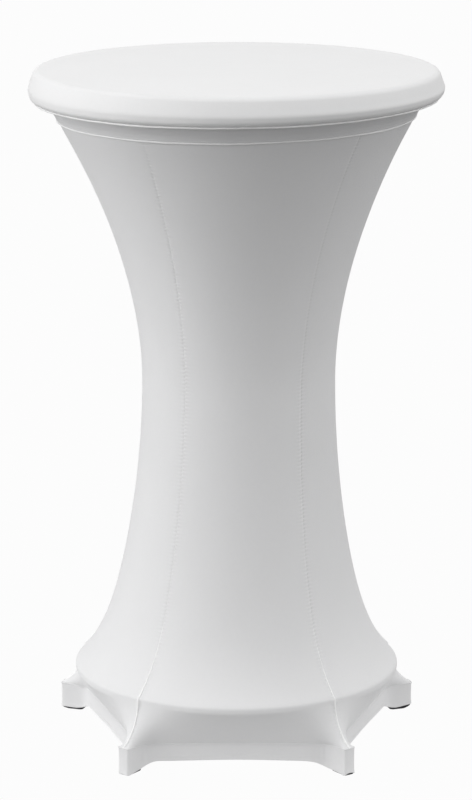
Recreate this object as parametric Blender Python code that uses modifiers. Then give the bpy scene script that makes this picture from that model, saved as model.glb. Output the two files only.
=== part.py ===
"""Fitted stretch cover with a loose topper, on a round bar table.

Metres, +Z up, the floor at z = 0, the table's column on the Z axis and the front towards -Y.
The table stands on five arms. Each arm's tip sits in a pocket of the cover.
"""
import math

import bmesh
import bpy
from mathutils import Matrix, Vector

COLLECTION_NAME = "covered_bar_table"
CUTTER_COLLECTION_NAME = "cutters"

# --- Whole object ---------------------------------------------------------------------------
TOTAL_HEIGHT = 1.160          # floor to the topper's upper face
TOTAL_RADIUS = 0.3503         # the topper's widest circle
FABRIC = 0.0008               # one layer of stretch fabric
GAP = 0.0003                  # between pieces that touch, rest or are sewn together
LAYER = FABRIC + GAP          # one layer of fabric with its gap
FOOT_COUNT = 5
FRONT_FOOT_ANGLE = math.radians(-54.0)   # the front right foot, counted from +X
PANEL_COLUMNS = 12            # steps across one panel, so a full turn has 60
TURN_STEPS = FOOT_COUNT * PANEL_COLUMNS
FOOT_PITCH = math.tau / FOOT_COUNT

# --- Tabletop ---------------------------------------------------------------------------------
BOARD_THICKNESS = 0.036
BOARD_UNDERSIDE_CORNER = 0.008           # the board's own lower corner radius
TOP_CORNER_RADIUS = 0.012     # outside the topper, at its upper edge
RIM_SLOPE = math.radians(20.0)           # how far the rim leans out on its way down
ARC_STEP = math.radians(21.0)            # the most that one straight piece of a corner turns

# --- Topper and yoke --------------------------------------------------------------------------
TOPPER_GRIP = 0.0288          # how far in from the widest circle the topper's hem grips
TOPPER_HEM_DROP = 0.0133      # how far the topper's hem hangs below the board
TOPPER_ELASTIC_WIDTH = 0.006
TOPPER_ELASTIC_THICKNESS = 0.0012
YOKE_DEPTH = 0.028            # from the topper's hem to the seam with the skirt panels
YOKE_TAPER = 0.020            # how far in that seam is from the topper's hem
YOKE_NECK_DROP = 0.006        # how far below the topper's hem the yoke turns down
YOKE_NECK_INSET = 0.003       # and how far in it is there
YOKE_NECK_HOLLOW = 0.0008     # how far the yoke pulls in between its two seams

# --- Skirt ------------------------------------------------------------------------------------
WAIST_RADIUS = 0.1655
WAIST_HEIGHT = 0.630
UPPER_FLARE_POWER = 1.85      # how quickly the skirt widens above the waist
LOWER_FLARE_SHARE = 0.70      # share of the lower flare that is an even curve
LOWER_FLARE_POWER = 10.0      # power of the rest, which opens just above the base disc
SKIRT_TWIST = math.radians(6.0)          # the top is pulled round by this much from the feet
UPPER_ROWS = 7
LOWER_ROWS = 8
LOWER_ROW_CROWDING = 0.8      # under 1 draws the lower rows together towards the rim
CORNER_ROWS = 2               # rows round the lower corner of the base disc's rim
APRON_ROWS = 4                # rows between that corner and the hem

# --- Base disc --------------------------------------------------------------------------------
DISC_RADIUS = 0.2794
DISC_THICKNESS = 0.018
DISC_BOTTOM = 0.108
DISC_EDGE_RADIUS = 0.007
RIM_STEEPNESS = 3.334         # how many times its even slope the skirt has at the rim

# --- Arms, feet and pockets -------------------------------------------------------------------
ARM_WIDTH = 0.020
ARM_HEIGHT = 0.030
ARM_WALL = 0.0015
FOOT_OVERHANG = 0.0456        # a pocket's outer face, out beyond the base disc
POCKET_DEPTH = 0.048
POCKET_RISE = 0.0013          # how far a pocket's outer end stands above the arm
POCKET_TOP_FALL = 0.0035      # how much lower its inner end is
SOLE_THICKNESS = 0.0025
END_CAP_FACE = 0.004
END_CAP_CORNER = 0.003
END_CAP_PLUG = 0.010
HEM_TOP_ARCH = 0.0021         # rise of the hem's seam, halfway between two feet
HEM_BOTTOM_MIDDLE = 0.0162
HEM_BOTTOM_END = 0.0036
HEM_THICKNESS = 0.0016        # the hem is turned up double
HEM_STEPS = 6
CUT_MARGIN = 0.020            # how far a cutter runs past an open side

# --- Levelling glides -------------------------------------------------------------------------
GLIDE_INSET = 0.027           # glide axis, in from the pocket's outer face
GLIDE_RADIUS = ARM_WIDTH / 2 - 0.0015
GLIDE_THICKNESS = 0.006
GLIDE_TRAVEL = 0.0058         # room above the glide's foot, under the arm
GLIDE_STEM_RADIUS = 0.004
GLIDE_STEM_LENGTH = 0.014
STEM_CLEARANCE = 0.0002

# --- Column, flange and plates ----------------------------------------------------------------
COLUMN_RADIUS = 0.030
COLUMN_WALL = 0.002
FLANGE_THICKNESS = 0.006
FLANGE_BOLT_CIRCLE = COLUMN_RADIUS + 0.0125   # radius of the circle that the bolts stand on
FLANGE_RADIUS = FLANGE_BOLT_CIRCLE + 0.0135
HUB_RADIUS = FLANGE_BOLT_CIRCLE + 0.0125
BOLT_RADIUS = 0.004
BOLT_HEAD_RADIUS = 0.0065
BOLT_HEAD_HEIGHT = 0.0053
BOLT_GRIP = 0.020             # how far a bolt reaches into the hub
TOP_PLATE_SIDE = 0.220
TOP_PLATE_THICKNESS = 0.005
TOP_PLATE_CORNER = 0.015
TOP_SCREW_OFFSET = TOP_PLATE_SIDE / 2 - 0.020   # from the axis, along X and along Y
SCREW_RADIUS = 0.0022
SCREW_HEAD_RADIUS = 0.0045
SCREW_HEAD_HEIGHT = 0.0025
SCREW_GRIP = 0.018            # how far a screw reaches into the board
HOLE_CLEARANCE = 0.0003
FASTENER_COUNT = 4
HOLE_SIDES = 16
SHANK_SIDES = 12
HEXAGON = 6
ROUND_SIDES = 40

# --- Levels that follow from the sizes above --------------------------------------------------
BOARD_TOP = TOTAL_HEIGHT - 2 * LAYER
BOARD_BOTTOM = BOARD_TOP - BOARD_THICKNESS
LOWER_CORNER_RADIUS = BOARD_UNDERSIDE_CORNER + 2 * LAYER
RIM_CENTRE_HEIGHT = BOARD_BOTTOM + BOARD_UNDERSIDE_CORNER
TOPPER_HEM_RADIUS = TOTAL_RADIUS - TOPPER_GRIP
TOPPER_HEM_HEIGHT = BOARD_BOTTOM - TOPPER_HEM_DROP
YOKE_SEAM_RADIUS = TOPPER_HEM_RADIUS - YOKE_TAPER
YOKE_SEAM_HEIGHT = TOPPER_HEM_HEIGHT - YOKE_DEPTH
TOP_PLATE_TOP = BOARD_BOTTOM - GAP
DISC_TOP = DISC_BOTTOM + DISC_THICKNESS
LEAVE_ABOVE = math.atan(RIM_STEEPNESS * (DISC_RADIUS - WAIST_RADIUS) / (WAIST_HEIGHT - DISC_TOP))
FLANGE_BOTTOM = DISC_TOP + GAP
FLANGE_TOP = FLANGE_BOTTOM + FLANGE_THICKNESS
COLUMN_BOTTOM = FLANGE_TOP + GAP
COLUMN_TOP = TOP_PLATE_TOP - TOP_PLATE_THICKNESS - GAP
POCKET_BOTTOM = SOLE_THICKNESS + GAP
GLIDE_BOTTOM = POCKET_BOTTOM + LAYER
ARM_BOTTOM = GLIDE_BOTTOM + GLIDE_THICKNESS + GLIDE_TRAVEL
POCKET_TOP = ARM_BOTTOM + ARM_HEIGHT + POCKET_RISE
POCKET_TOP_INNER = POCKET_TOP - POCKET_TOP_FALL
HEM_TOP_MIDDLE = POCKET_TOP_INNER + HEM_TOP_ARCH
FOOT_REACH = DISC_RADIUS + FOOT_OVERHANG
GLIDE_REACH = FOOT_REACH - GLIDE_INSET
POCKET_HALF_WIDTH = ARM_WIDTH / 2 + LAYER
POCKET_INNER_REACH = FOOT_REACH - POCKET_DEPTH
END_CAP_OUTER = FOOT_REACH - LAYER
ARM_OUTER = END_CAP_OUTER - END_CAP_FACE - GAP

# Finishes: name, colour, roughness, metallic.
WHITE_STRETCH = ("white_stretch", (0.86, 0.86, 0.87), 0.75, 0.0)
WHITE_HEM = ("white_hem", (0.87, 0.87, 0.88), 0.75, 0.0)
TOPPER_STRETCH = ("topper_stretch", (0.90, 0.90, 0.90), 0.75, 0.0)
WHITE_ELASTIC = ("white_elastic", (0.80, 0.80, 0.80), 0.85, 0.0)
GREY_SOLE = ("grey_sole", (0.18, 0.18, 0.19), 0.90, 0.0)
BOARD_LAMINATE = ("board_laminate", (0.74, 0.72, 0.68), 0.45, 0.0)
DISC_LAMINATE = ("disc_laminate", (0.70, 0.68, 0.64), 0.45, 0.0)
DARK_PAINT = ("dark_paint", (0.10, 0.10, 0.11), 0.50, 0.0)
COLUMN_PAINT = ("column_paint", (0.55, 0.56, 0.57), 0.40, 0.0)
ZINC_STEEL = ("zinc_steel", (0.60, 0.61, 0.62), 0.35, 1.0)
BLACK_PLASTIC = ("black_plastic", (0.05, 0.05, 0.05), 0.55, 0.0)


# --- Scene and materials ----------------------------------------------------------------------
def clear_scene():
    for old in list(bpy.data.objects):
        bpy.data.objects.remove(old, do_unlink=True)


def new_collection(name):
    collection = bpy.data.collections.new(name)
    bpy.context.scene.collection.children.link(collection)
    return collection


def material(finish):
    name, colour, roughness, metallic = finish
    found = bpy.data.materials.get(name)
    if found is not None:
        return found
    made = bpy.data.materials.new(name)
    made.use_nodes = True
    shader = made.node_tree.nodes["Principled BSDF"]
    shader.inputs["Base Color"].default_value = (*colour, 1.0)
    shader.inputs["Roughness"].default_value = roughness
    shader.inputs["Metallic"].default_value = metallic
    made.diffuse_color = (*colour, 1.0)
    return made


def new_object(name, mesh, finish, smooth=False):
    piece = bpy.data.objects.new(name, mesh)
    PARTS.objects.link(piece)
    mesh.materials.append(material(finish))
    if smooth:
        mesh.shade_smooth()
    return piece


def mesh_from_bmesh(name, bm):
    bmesh.ops.recalc_face_normals(bm, faces=bm.faces)
    mesh = bpy.data.meshes.new(name)
    bm.to_mesh(mesh)
    bm.free()
    return mesh


# --- Building blocks --------------------------------------------------------------------------
def arc(centre, radius, start, end):
    """Points on a circle in the (radius, height) plane, from one angle to another."""
    points = []
    steps = math.ceil(abs(end - start) / ARC_STEP)
    for step in range(steps + 1):
        angle = start + (end - start) * step / steps
        points.append((centre[0] + radius * math.cos(angle), centre[1] + radius * math.sin(angle)))
    return points


def turned(name, outline, finish, closed=False, thickness=None):
    """Turn an outline of (radius, height) points about the Z axis.

    The outline runs down the outer side. A closed one makes a ring, and one with a thickness
    is a skin that grows inwards.
    """
    mesh = bpy.data.meshes.new(name)
    edges = [(i, i + 1) for i in range(len(outline) - 1)]
    if closed:
        edges.append((len(outline) - 1, 0))
    mesh.from_pydata([(radius, 0.0, height) for radius, height in outline], edges, [])
    piece = new_object(name, mesh, finish)
    screw = piece.modifiers.new("turn", "SCREW")
    screw.axis = "Z"
    screw.steps = TURN_STEPS
    screw.render_steps = TURN_STEPS
    screw.use_merge_vertices = True
    screw.merge_threshold = 0.00001
    screw.use_smooth_shade = True
    if thickness is not None:
        solidify = piece.modifiers.new("skin", "SOLIDIFY")
        solidify.thickness = thickness
        solidify.offset = -1.0
        solidify.use_even_offset = True
    return piece


def box_mesh(name, low, high):
    bm = bmesh.new()
    bmesh.ops.create_cube(bm, size=1.0)
    size = [high[axis] - low[axis] for axis in range(3)]
    middle = [(high[axis] + low[axis]) / 2 for axis in range(3)]
    bmesh.ops.scale(bm, vec=size, verts=bm.verts)
    bmesh.ops.translate(bm, vec=middle, verts=bm.verts)
    return mesh_from_bmesh(name, bm)


def cylinder(bm, radius, bottom, top, x=0.0, y=0.0, sides=HOLE_SIDES):
    made = bmesh.ops.create_cone(
        bm, cap_ends=True, segments=sides, radius1=radius, radius2=radius, depth=top - bottom,
        matrix=Matrix.Translation((x, y, (top + bottom) / 2)))
    return made["verts"]


def cylinder_mesh(name, radius, bottom, top, x=0.0, y=0.0, sides=HOLE_SIDES):
    bm = bmesh.new()
    cylinder(bm, radius, bottom, top, x, y, sides)
    return mesh_from_bmesh(name, bm)


def combine(piece, tool_mesh, operation):
    """Cut or join a piece with a tool made at the same place and rotation."""
    tool = bpy.data.objects.new(piece.name + "_tool", tool_mesh)
    CUTTERS.objects.link(tool)
    tool.matrix_world = piece.matrix_world.copy()
    tool.hide_render = True
    tool.display_type = "WIRE"
    boolean = piece.modifiers.new(operation.lower(), "BOOLEAN")
    boolean.operation = operation
    boolean.solver = "EXACT"
    boolean.object = tool
    return tool


def foot_angle(number):
    """Direction of a foot from the axis. Number 1 is the front right one, counted upwards
    anticlockwise as seen from above."""
    return FRONT_FOOT_ANGLE + (number - 1) * FOOT_PITCH


def place_at_foot(piece, number):
    """Turn a piece that was built along +X so that it lies along the foot's arm."""
    piece.rotation_euler = (0.0, 0.0, foot_angle(number))
    bpy.context.view_layer.update()


# --- Outlines ---------------------------------------------------------------------------------
def rim_outline(inset, lowest_angle):
    """The tabletop's edge seen from the side, this far inside the topper's outer face.

    It runs from the flat top round the upper corner, down the leaning rim and round the lower
    corner, to the point where the corner faces lowest_angle.
    """
    lower_centre = (TOTAL_RADIUS - LOWER_CORNER_RADIUS, RIM_CENTRE_HEIGHT)
    lower = arc(lower_centre, LOWER_CORNER_RADIUS - inset, 0.0, lowest_angle)
    upper_height = TOTAL_HEIGHT - TOP_CORNER_RADIUS
    rise = upper_height - RIM_CENTRE_HEIGHT
    lean = TOP_CORNER_RADIUS - LOWER_CORNER_RADIUS
    # Both corners touch one line that leans by RIM_SLOPE, which fixes the upper centre.
    upper_radius = lower_centre[0] - (rise * math.sin(RIM_SLOPE) + lean) / math.cos(RIM_SLOPE)
    upper_centre = (upper_radius, upper_height)
    upper = arc(upper_centre, TOP_CORNER_RADIUS - inset, math.pi / 2, RIM_SLOPE)
    lean_end = arc(lower_centre, LOWER_CORNER_RADIUS - inset, RIM_SLOPE, 0.0)[0]
    return upper + [lean_end] + lower


def tangent_angle(centre, radius, point):
    """Direction from a circle's centre to where a straight line from the point touches it."""
    across = point[0] - centre[0]
    down = point[1] - centre[1]
    return math.atan2(down, across) + math.acos(radius / math.hypot(across, down))


def margin_angle():
    centre = (TOTAL_RADIUS - LOWER_CORNER_RADIUS, RIM_CENTRE_HEIGHT)
    return tangent_angle(centre, LOWER_CORNER_RADIUS, (TOPPER_HEM_RADIUS, TOPPER_HEM_HEIGHT))


def skirt_radius(height):
    """Outer radius of the skirt between the base disc's rim and the yoke seam."""
    if height >= WAIST_HEIGHT:
        share = (height - WAIST_HEIGHT) / (YOKE_SEAM_HEIGHT - WAIST_HEIGHT)
        return WAIST_RADIUS + (YOKE_SEAM_RADIUS - WAIST_RADIUS) * share ** UPPER_FLARE_POWER
    rim_radius, rim_height = rim_leave_point()
    share = (WAIST_HEIGHT - height) / (WAIST_HEIGHT - rim_height)
    even = LOWER_FLARE_SHARE * share ** 2
    sharp = (1.0 - LOWER_FLARE_SHARE) * share ** LOWER_FLARE_POWER
    return WAIST_RADIUS + (rim_radius - WAIST_RADIUS) * (even + sharp)


def rim_leave_point():
    """Where the skirt first touches the base disc's rim."""
    reach = DISC_EDGE_RADIUS + LAYER
    centre = (DISC_RADIUS - DISC_EDGE_RADIUS, DISC_TOP - DISC_EDGE_RADIUS)
    return (centre[0] + reach * math.cos(LEAVE_ABOVE), centre[1] + reach * math.sin(LEAVE_ABOVE))


# --- Table ------------------------------------------------------------------------------------
def build_tabletop():
    outline = rim_outline(2 * LAYER, -math.pi / 2)
    outline = [(0.0, BOARD_TOP)] + outline + [(0.0, BOARD_BOTTOM)]
    board = turned("tabletop_board", outline, BOARD_LAMINATE)
    bm = bmesh.new()
    for x, y in screw_places():
        cylinder(bm, SCREW_RADIUS + HOLE_CLEARANCE, BOARD_BOTTOM - GAP,
                 BOARD_BOTTOM + SCREW_GRIP + HOLE_CLEARANCE, x, y)
    combine(board, mesh_from_bmesh("screw_holes", bm), "DIFFERENCE")


def screw_places():
    return [(x * TOP_SCREW_OFFSET, y * TOP_SCREW_OFFSET)
            for x, y in ((1, 1), (-1, 1), (-1, -1), (1, -1))]


def build_top_plate():
    half = TOP_PLATE_SIDE / 2
    low = (-half, -half, TOP_PLATE_TOP - TOP_PLATE_THICKNESS)
    plate = new_object("top_plate", box_mesh("top_plate", low, (half, half, TOP_PLATE_TOP)),
                       DARK_PAINT)
    bm = bmesh.new()
    for x, y in screw_places():
        cylinder(bm, SCREW_RADIUS + HOLE_CLEARANCE, low[2] - GAP, TOP_PLATE_TOP + GAP, x, y)
    upright = [edge for edge in plate.data.edges
               if abs(plate.data.vertices[edge.vertices[0]].co.z
                      - plate.data.vertices[edge.vertices[1]].co.z) > TOP_PLATE_THICKNESS / 2]
    weights = plate.data.attributes.new("bevel_weight_edge", "FLOAT", "EDGE")
    for edge in upright:
        weights.data[edge.index].value = 1.0
    bevel = plate.modifiers.new("corners", "BEVEL")
    bevel.limit_method = "WEIGHT"
    bevel.width = TOP_PLATE_CORNER
    bevel.segments = 3
    combine(plate, mesh_from_bmesh("plate_holes", bm), "DIFFERENCE")


def fastener_mesh(name, shank_radius, shank_bottom, shank_top, head_radius, head_bottom,
                  head_top, x, y, head_sides):
    """The meshes of a fastener's head and of its shank, which are joined later."""
    bm = bmesh.new()
    cylinder(bm, head_radius, head_bottom, head_top, x, y, head_sides)
    shank = bmesh.new()
    cylinder(shank, shank_radius, shank_bottom, shank_top, x, y, SHANK_SIDES)
    return mesh_from_bmesh(name, bm), mesh_from_bmesh(name + "_shank", shank)


def build_top_screws():
    head_top = TOP_PLATE_TOP - TOP_PLATE_THICKNESS - GAP
    for number, (x, y) in enumerate(screw_places(), start=1):
        head, shank = fastener_mesh(
            "top_screw", SCREW_RADIUS, head_top - SCREW_HEAD_HEIGHT / 2,
            BOARD_BOTTOM + SCREW_GRIP, SCREW_HEAD_RADIUS, head_top - SCREW_HEAD_HEIGHT,
            head_top, x, y, SHANK_SIDES)
        screw = new_object(f"top_screw_{number}", head, ZINC_STEEL)
        combine(screw, shank, "UNION")


def bolt_places():
    places = []
    for number in range(FASTENER_COUNT):
        angle = math.tau * (number + 0.5) / FASTENER_COUNT
        places.append((FLANGE_BOLT_CIRCLE * math.cos(angle), FLANGE_BOLT_CIRCLE * math.sin(angle)))
    return places


def bolt_holes(bottom, top):
    bm = bmesh.new()
    for x, y in bolt_places():
        cylinder(bm, BOLT_RADIUS + HOLE_CLEARANCE, bottom, top, x, y)
    return mesh_from_bmesh("bolt_holes", bm)


def build_column():
    inner = COLUMN_RADIUS - COLUMN_WALL
    turned("column_tube", [(COLUMN_RADIUS, COLUMN_TOP), (COLUMN_RADIUS, COLUMN_BOTTOM),
                           (inner, COLUMN_BOTTOM), (inner, COLUMN_TOP)],
           COLUMN_PAINT, closed=True)
    flange = new_object("column_flange",
                        cylinder_mesh("column_flange", FLANGE_RADIUS, FLANGE_BOTTOM, FLANGE_TOP,
                                      sides=ROUND_SIDES),
                        COLUMN_PAINT)
    combine(flange, bolt_holes(FLANGE_BOTTOM - GAP, FLANGE_TOP + GAP), "DIFFERENCE")
    for number, (x, y) in enumerate(bolt_places(), start=1):
        head_bottom = FLANGE_TOP + GAP
        head, shank = fastener_mesh(
            "flange_bolt", BOLT_RADIUS, DISC_BOTTOM - GAP - BOLT_GRIP,
            head_bottom + BOLT_HEAD_HEIGHT / 2, BOLT_HEAD_RADIUS, head_bottom,
            head_bottom + BOLT_HEAD_HEIGHT, x, y, HEXAGON)
        bolt = new_object(f"flange_bolt_{number}", head, ZINC_STEEL)
        combine(bolt, shank, "UNION")


def build_base_disc():
    upper = (DISC_RADIUS - DISC_EDGE_RADIUS, DISC_TOP - DISC_EDGE_RADIUS)
    lower = (DISC_RADIUS - DISC_EDGE_RADIUS, DISC_BOTTOM + DISC_EDGE_RADIUS)
    outline = [(0.0, DISC_TOP)]
    outline += arc(upper, DISC_EDGE_RADIUS, math.pi / 2, 0.0)
    outline += arc(lower, DISC_EDGE_RADIUS, 0.0, -math.pi / 2)
    outline.append((0.0, DISC_BOTTOM))
    disc = turned("base_disc", outline, DISC_LAMINATE)
    combine(disc, bolt_holes(DISC_BOTTOM - GAP, DISC_TOP + GAP), "DIFFERENCE")


def build_hub():
    hub = new_object("base_hub",
                     cylinder_mesh("base_hub", HUB_RADIUS, ARM_BOTTOM, DISC_BOTTOM - GAP,
                                   sides=ROUND_SIDES),
                     DARK_PAINT)
    depth = BOLT_GRIP + HOLE_CLEARANCE
    combine(hub, bolt_holes(DISC_BOTTOM - GAP - depth, DISC_BOTTOM), "DIFFERENCE")


def end_cap_face_mesh():
    """The outer plate of an end cap, with its two outer upright corners rounded."""
    half = ARM_WIDTH / 2
    inner_end = ARM_OUTER + GAP
    centre = (END_CAP_OUTER - END_CAP_CORNER, half - END_CAP_CORNER)
    corner = arc(centre, END_CAP_CORNER, 0.0, math.pi / 2)
    plan = [(x, -y) for x, y in reversed(corner)] + corner
    plan += [(inner_end, half), (inner_end, -half)]
    bm = bmesh.new()
    low = [bm.verts.new((x, y, ARM_BOTTOM)) for x, y in plan]
    high = [bm.verts.new((x, y, ARM_BOTTOM + ARM_HEIGHT)) for x, y in plan]
    bm.faces.new(reversed(low))
    bm.faces.new(high)
    for first in range(len(plan)):
        second = (first + 1) % len(plan)
        bm.faces.new((low[first], low[second], high[second], high[first]))
    return mesh_from_bmesh("arm_end_cap", bm)


def build_arms():
    half = ARM_WIDTH / 2
    inner = half - ARM_WALL
    arm_top = ARM_BOTTOM + ARM_HEIGHT
    arm_inner = HUB_RADIUS + GAP
    for number in range(1, FOOT_COUNT + 1):
        arm = new_object(f"base_arm_{number}",
                         box_mesh("base_arm", (arm_inner, -half, ARM_BOTTOM),
                                  (ARM_OUTER, half, arm_top)),
                         DARK_PAINT)
        place_at_foot(arm, number)
        combine(arm, box_mesh("arm_bore", (arm_inner - GAP, -inner, ARM_BOTTOM + ARM_WALL),
                              (ARM_OUTER + GAP, inner, arm_top - ARM_WALL)), "DIFFERENCE")
        hole = cylinder_mesh("glide_hole", GLIDE_STEM_RADIUS + STEM_CLEARANCE,
                             ARM_BOTTOM - GAP, ARM_BOTTOM + 2 * ARM_WALL, x=GLIDE_REACH)
        combine(arm, hole, "DIFFERENCE")
        cap = new_object(f"arm_end_cap_{number}", end_cap_face_mesh(), BLACK_PLASTIC)
        place_at_foot(cap, number)
        plug = inner - GAP
        combine(cap, box_mesh("end_cap_plug",
                              (ARM_OUTER - END_CAP_PLUG, -plug, ARM_BOTTOM + ARM_WALL + GAP),
                              (END_CAP_OUTER - GAP, plug, arm_top - ARM_WALL - GAP)), "UNION")


def build_glides():
    """Each glide is built about its own screw axis, which is the object's origin."""
    for number in range(1, FOOT_COUNT + 1):
        base = cylinder_mesh("levelling_glide", GLIDE_RADIUS, 0.0, GLIDE_THICKNESS)
        stem = cylinder_mesh("glide_stem", GLIDE_STEM_RADIUS, GLIDE_THICKNESS / 2,
                             GLIDE_THICKNESS + GLIDE_STEM_LENGTH)
        glide = new_object(f"levelling_glide_{number}", base, BLACK_PLASTIC)
        angle = foot_angle(number)
        glide.location = (GLIDE_REACH * math.cos(angle), GLIDE_REACH * math.sin(angle),
                          GLIDE_BOTTOM)
        bpy.context.view_layer.update()
        combine(glide, stem, "UNION")


# --- Cover: top panel and yoke ----------------------------------------------------------------
def build_cover_top():
    """The flat top panel and the yoke, sewn together on the flat, just inside the edge."""
    outline = rim_outline(LAYER, margin_angle())
    edge_radius, level = outline[0]
    turned("cover_top_panel", [(0.0, level), (edge_radius - GAP, level),
                               (edge_radius - GAP, level - FABRIC), (0.0, level - FABRIC)],
           WHITE_STRETCH)
    along, inward = margin_directions()
    hem = Vector((TOPPER_HEM_RADIUS, TOPPER_HEM_HEIGHT))
    grip = hem + inward * LAYER - along * GAP
    neck = (grip.x - YOKE_NECK_INSET, grip.y - YOKE_NECK_DROP)
    middle = ((neck[0] + YOKE_SEAM_RADIUS) / 2 - YOKE_NECK_HOLLOW,
              (neck[1] + YOKE_SEAM_HEIGHT) / 2)
    turned("cover_yoke",
           outline + [tuple(grip), neck, middle, (YOKE_SEAM_RADIUS, YOKE_SEAM_HEIGHT)],
           WHITE_STRETCH, thickness=FABRIC)


def margin_directions():
    """Along the topper's margin, outwards from its hem, and square to it, into the table."""
    end = rim_outline(0.0, margin_angle())[-1]
    along = (Vector(end) - Vector((TOPPER_HEM_RADIUS, TOPPER_HEM_HEIGHT))).normalized()
    return along, Vector((-along.y, along.x))


# --- Cover: skirt panels ----------------------------------------------------------------------
def polar(radius, angle, height):
    return Vector((radius * math.cos(angle), radius * math.sin(angle), height))


def hem_corner_points():
    """Half of a pocket's upper edge, along +X: tip, corner, side and inner end.

    Each entry is (distance from the axis, distance sideways, height).
    """
    middle = FOOT_REACH - POCKET_DEPTH / 2
    middle_height = (POCKET_TOP + POCKET_TOP_INNER) / 2
    return [(FOOT_REACH, 0.0, POCKET_TOP), (FOOT_REACH, POCKET_HALF_WIDTH, POCKET_TOP),
            (middle, POCKET_HALF_WIDTH, middle_height),
            (POCKET_INNER_REACH, POCKET_HALF_WIDTH, POCKET_TOP_INNER)]


def hem_edge(panel_start):
    """The lower edge of one panel: PANEL_COLUMNS + 1 points from one foot to the next."""
    corner = hem_corner_points()
    first = [turn_about_axis(point, panel_start) for point in corner]
    mirrored = [(reach, -side, height) for reach, side, height in corner]
    last = [turn_about_axis(point, panel_start + FOOT_PITCH) for point in mirrored]
    last.reverse()
    steps = PANEL_COLUMNS - 2 * (len(corner) - 1)
    between = []
    for step in range(1, steps):
        share = step / steps
        point = first[-1].lerp(last[0], share)
        point.z = hem_top(share)
        between.append(point)
    return first + between + last


def turn_about_axis(point, angle):
    return Matrix.Rotation(angle, 3, "Z") @ Vector(point)


def hem_top(share):
    arch = 4.0 * share * (1.0 - share)
    return POCKET_TOP_INNER + (HEM_TOP_MIDDLE - POCKET_TOP_INNER) * arch


def hem_bottom(share):
    arch = 4.0 * share * (1.0 - share)
    return HEM_BOTTOM_END + (HEM_BOTTOM_MIDDLE - HEM_BOTTOM_END) * math.sqrt(arch)


def skirt_rows():
    """Rings of outer points from the yoke seam to the hem, TURN_STEPS points in each."""
    rim_height = rim_leave_point()[1]
    top = YOKE_SEAM_HEIGHT - GAP
    heights = [top + (WAIST_HEIGHT - top) * row / UPPER_ROWS for row in range(UPPER_ROWS)]
    heights += [WAIST_HEIGHT + (rim_height - WAIST_HEIGHT) * (row / LOWER_ROWS) ** LOWER_ROW_CROWDING
                for row in range(LOWER_ROWS)]
    rows = []
    for height in heights:
        share = (height - rim_height) / (top - rim_height)
        rows.append(skirt_ring(skirt_radius(height), height, SKIRT_TWIST * share))
    reach = DISC_EDGE_RADIUS + LAYER
    upper = (DISC_RADIUS - DISC_EDGE_RADIUS, DISC_TOP - DISC_EDGE_RADIUS)
    for radius, height in arc(upper, reach, LEAVE_ABOVE, 0.0):
        rows.append(skirt_ring(radius, height, 0.0))
    return rows + apron_rows(reach)


def skirt_ring(radius, height, twist):
    step = math.tau / TURN_STEPS
    return [polar(radius, FRONT_FOOT_ANGLE + twist + column * step, height)
            for column in range(TURN_STEPS)]


def apron_rows(reach):
    """Rings from the middle of the rim down round its lower corner and on to the hem.

    The skirt leaves the corner at once at a foot, and bends furthest under it between feet.
    """
    edge = []
    for panel in range(FOOT_COUNT):
        edge += hem_edge(FRONT_FOOT_ANGLE + panel * FOOT_PITCH)[:-1]
    middle = edge[PANEL_COLUMNS // 2]
    corner = (DISC_RADIUS - DISC_EDGE_RADIUS, DISC_BOTTOM + DISC_EDGE_RADIUS)
    furthest = tangent_angle(corner, reach, (middle.xy.length, middle.z))
    corner_length = reach * abs(furthest)
    rows = [[] for _ in range(CORNER_ROWS + APRON_ROWS + 1)]
    for column, end in enumerate(edge):
        share = (column % PANEL_COLUMNS) / PANEL_COLUMNS
        bend = furthest * math.sin(math.pi * share)
        leaving = corner_point(reach, bend, column)
        for row in range(CORNER_ROWS + 1):
            length = corner_length * row / CORNER_ROWS
            if length <= reach * abs(bend):
                rows[row].append(corner_point(reach, -length / reach, column))
            else:
                onward = (end - leaving).normalized() * (length - reach * abs(bend))
                rows[row].append(leaving + onward)
        last = rows[CORNER_ROWS][-1]
        for row in range(1, APRON_ROWS + 1):
            rows[CORNER_ROWS + row].append(last.lerp(end, row / APRON_ROWS))
    return rows


def corner_point(reach, angle, column):
    return polar(DISC_RADIUS - DISC_EDGE_RADIUS + reach * math.cos(angle),
                 FRONT_FOOT_ANGLE + column * math.tau / TURN_STEPS,
                 DISC_BOTTOM + DISC_EDGE_RADIUS + reach * math.sin(angle))


def ring_normal(rows, row, column):
    """Outward direction of the skirt at a point; level on the two edges that are sewn on."""
    ring = rows[row]
    around = ring[(column + 1) % TURN_STEPS] - ring[column - 1]
    above = rows[max(row - 1, 0)][column]
    below = rows[min(row + 1, len(rows) - 1)][column]
    normal = (below - above).cross(around)
    if row in (0, len(rows) - 1):
        normal.z = 0.0
    return normal.normalized()


def build_skirt():
    outer = skirt_rows()
    inner = [[outer[row][column] - FABRIC * ring_normal(outer, row, column)
              for column in range(TURN_STEPS)] for row in range(len(outer))]
    # The apron hangs on the hem and the pockets with one gap between.
    for ring in (outer[-1], inner[-1]):
        for point in ring:
            point.z += GAP
    for panel in range(FOOT_COUNT):
        build_panel(panel, outer, inner)


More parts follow.
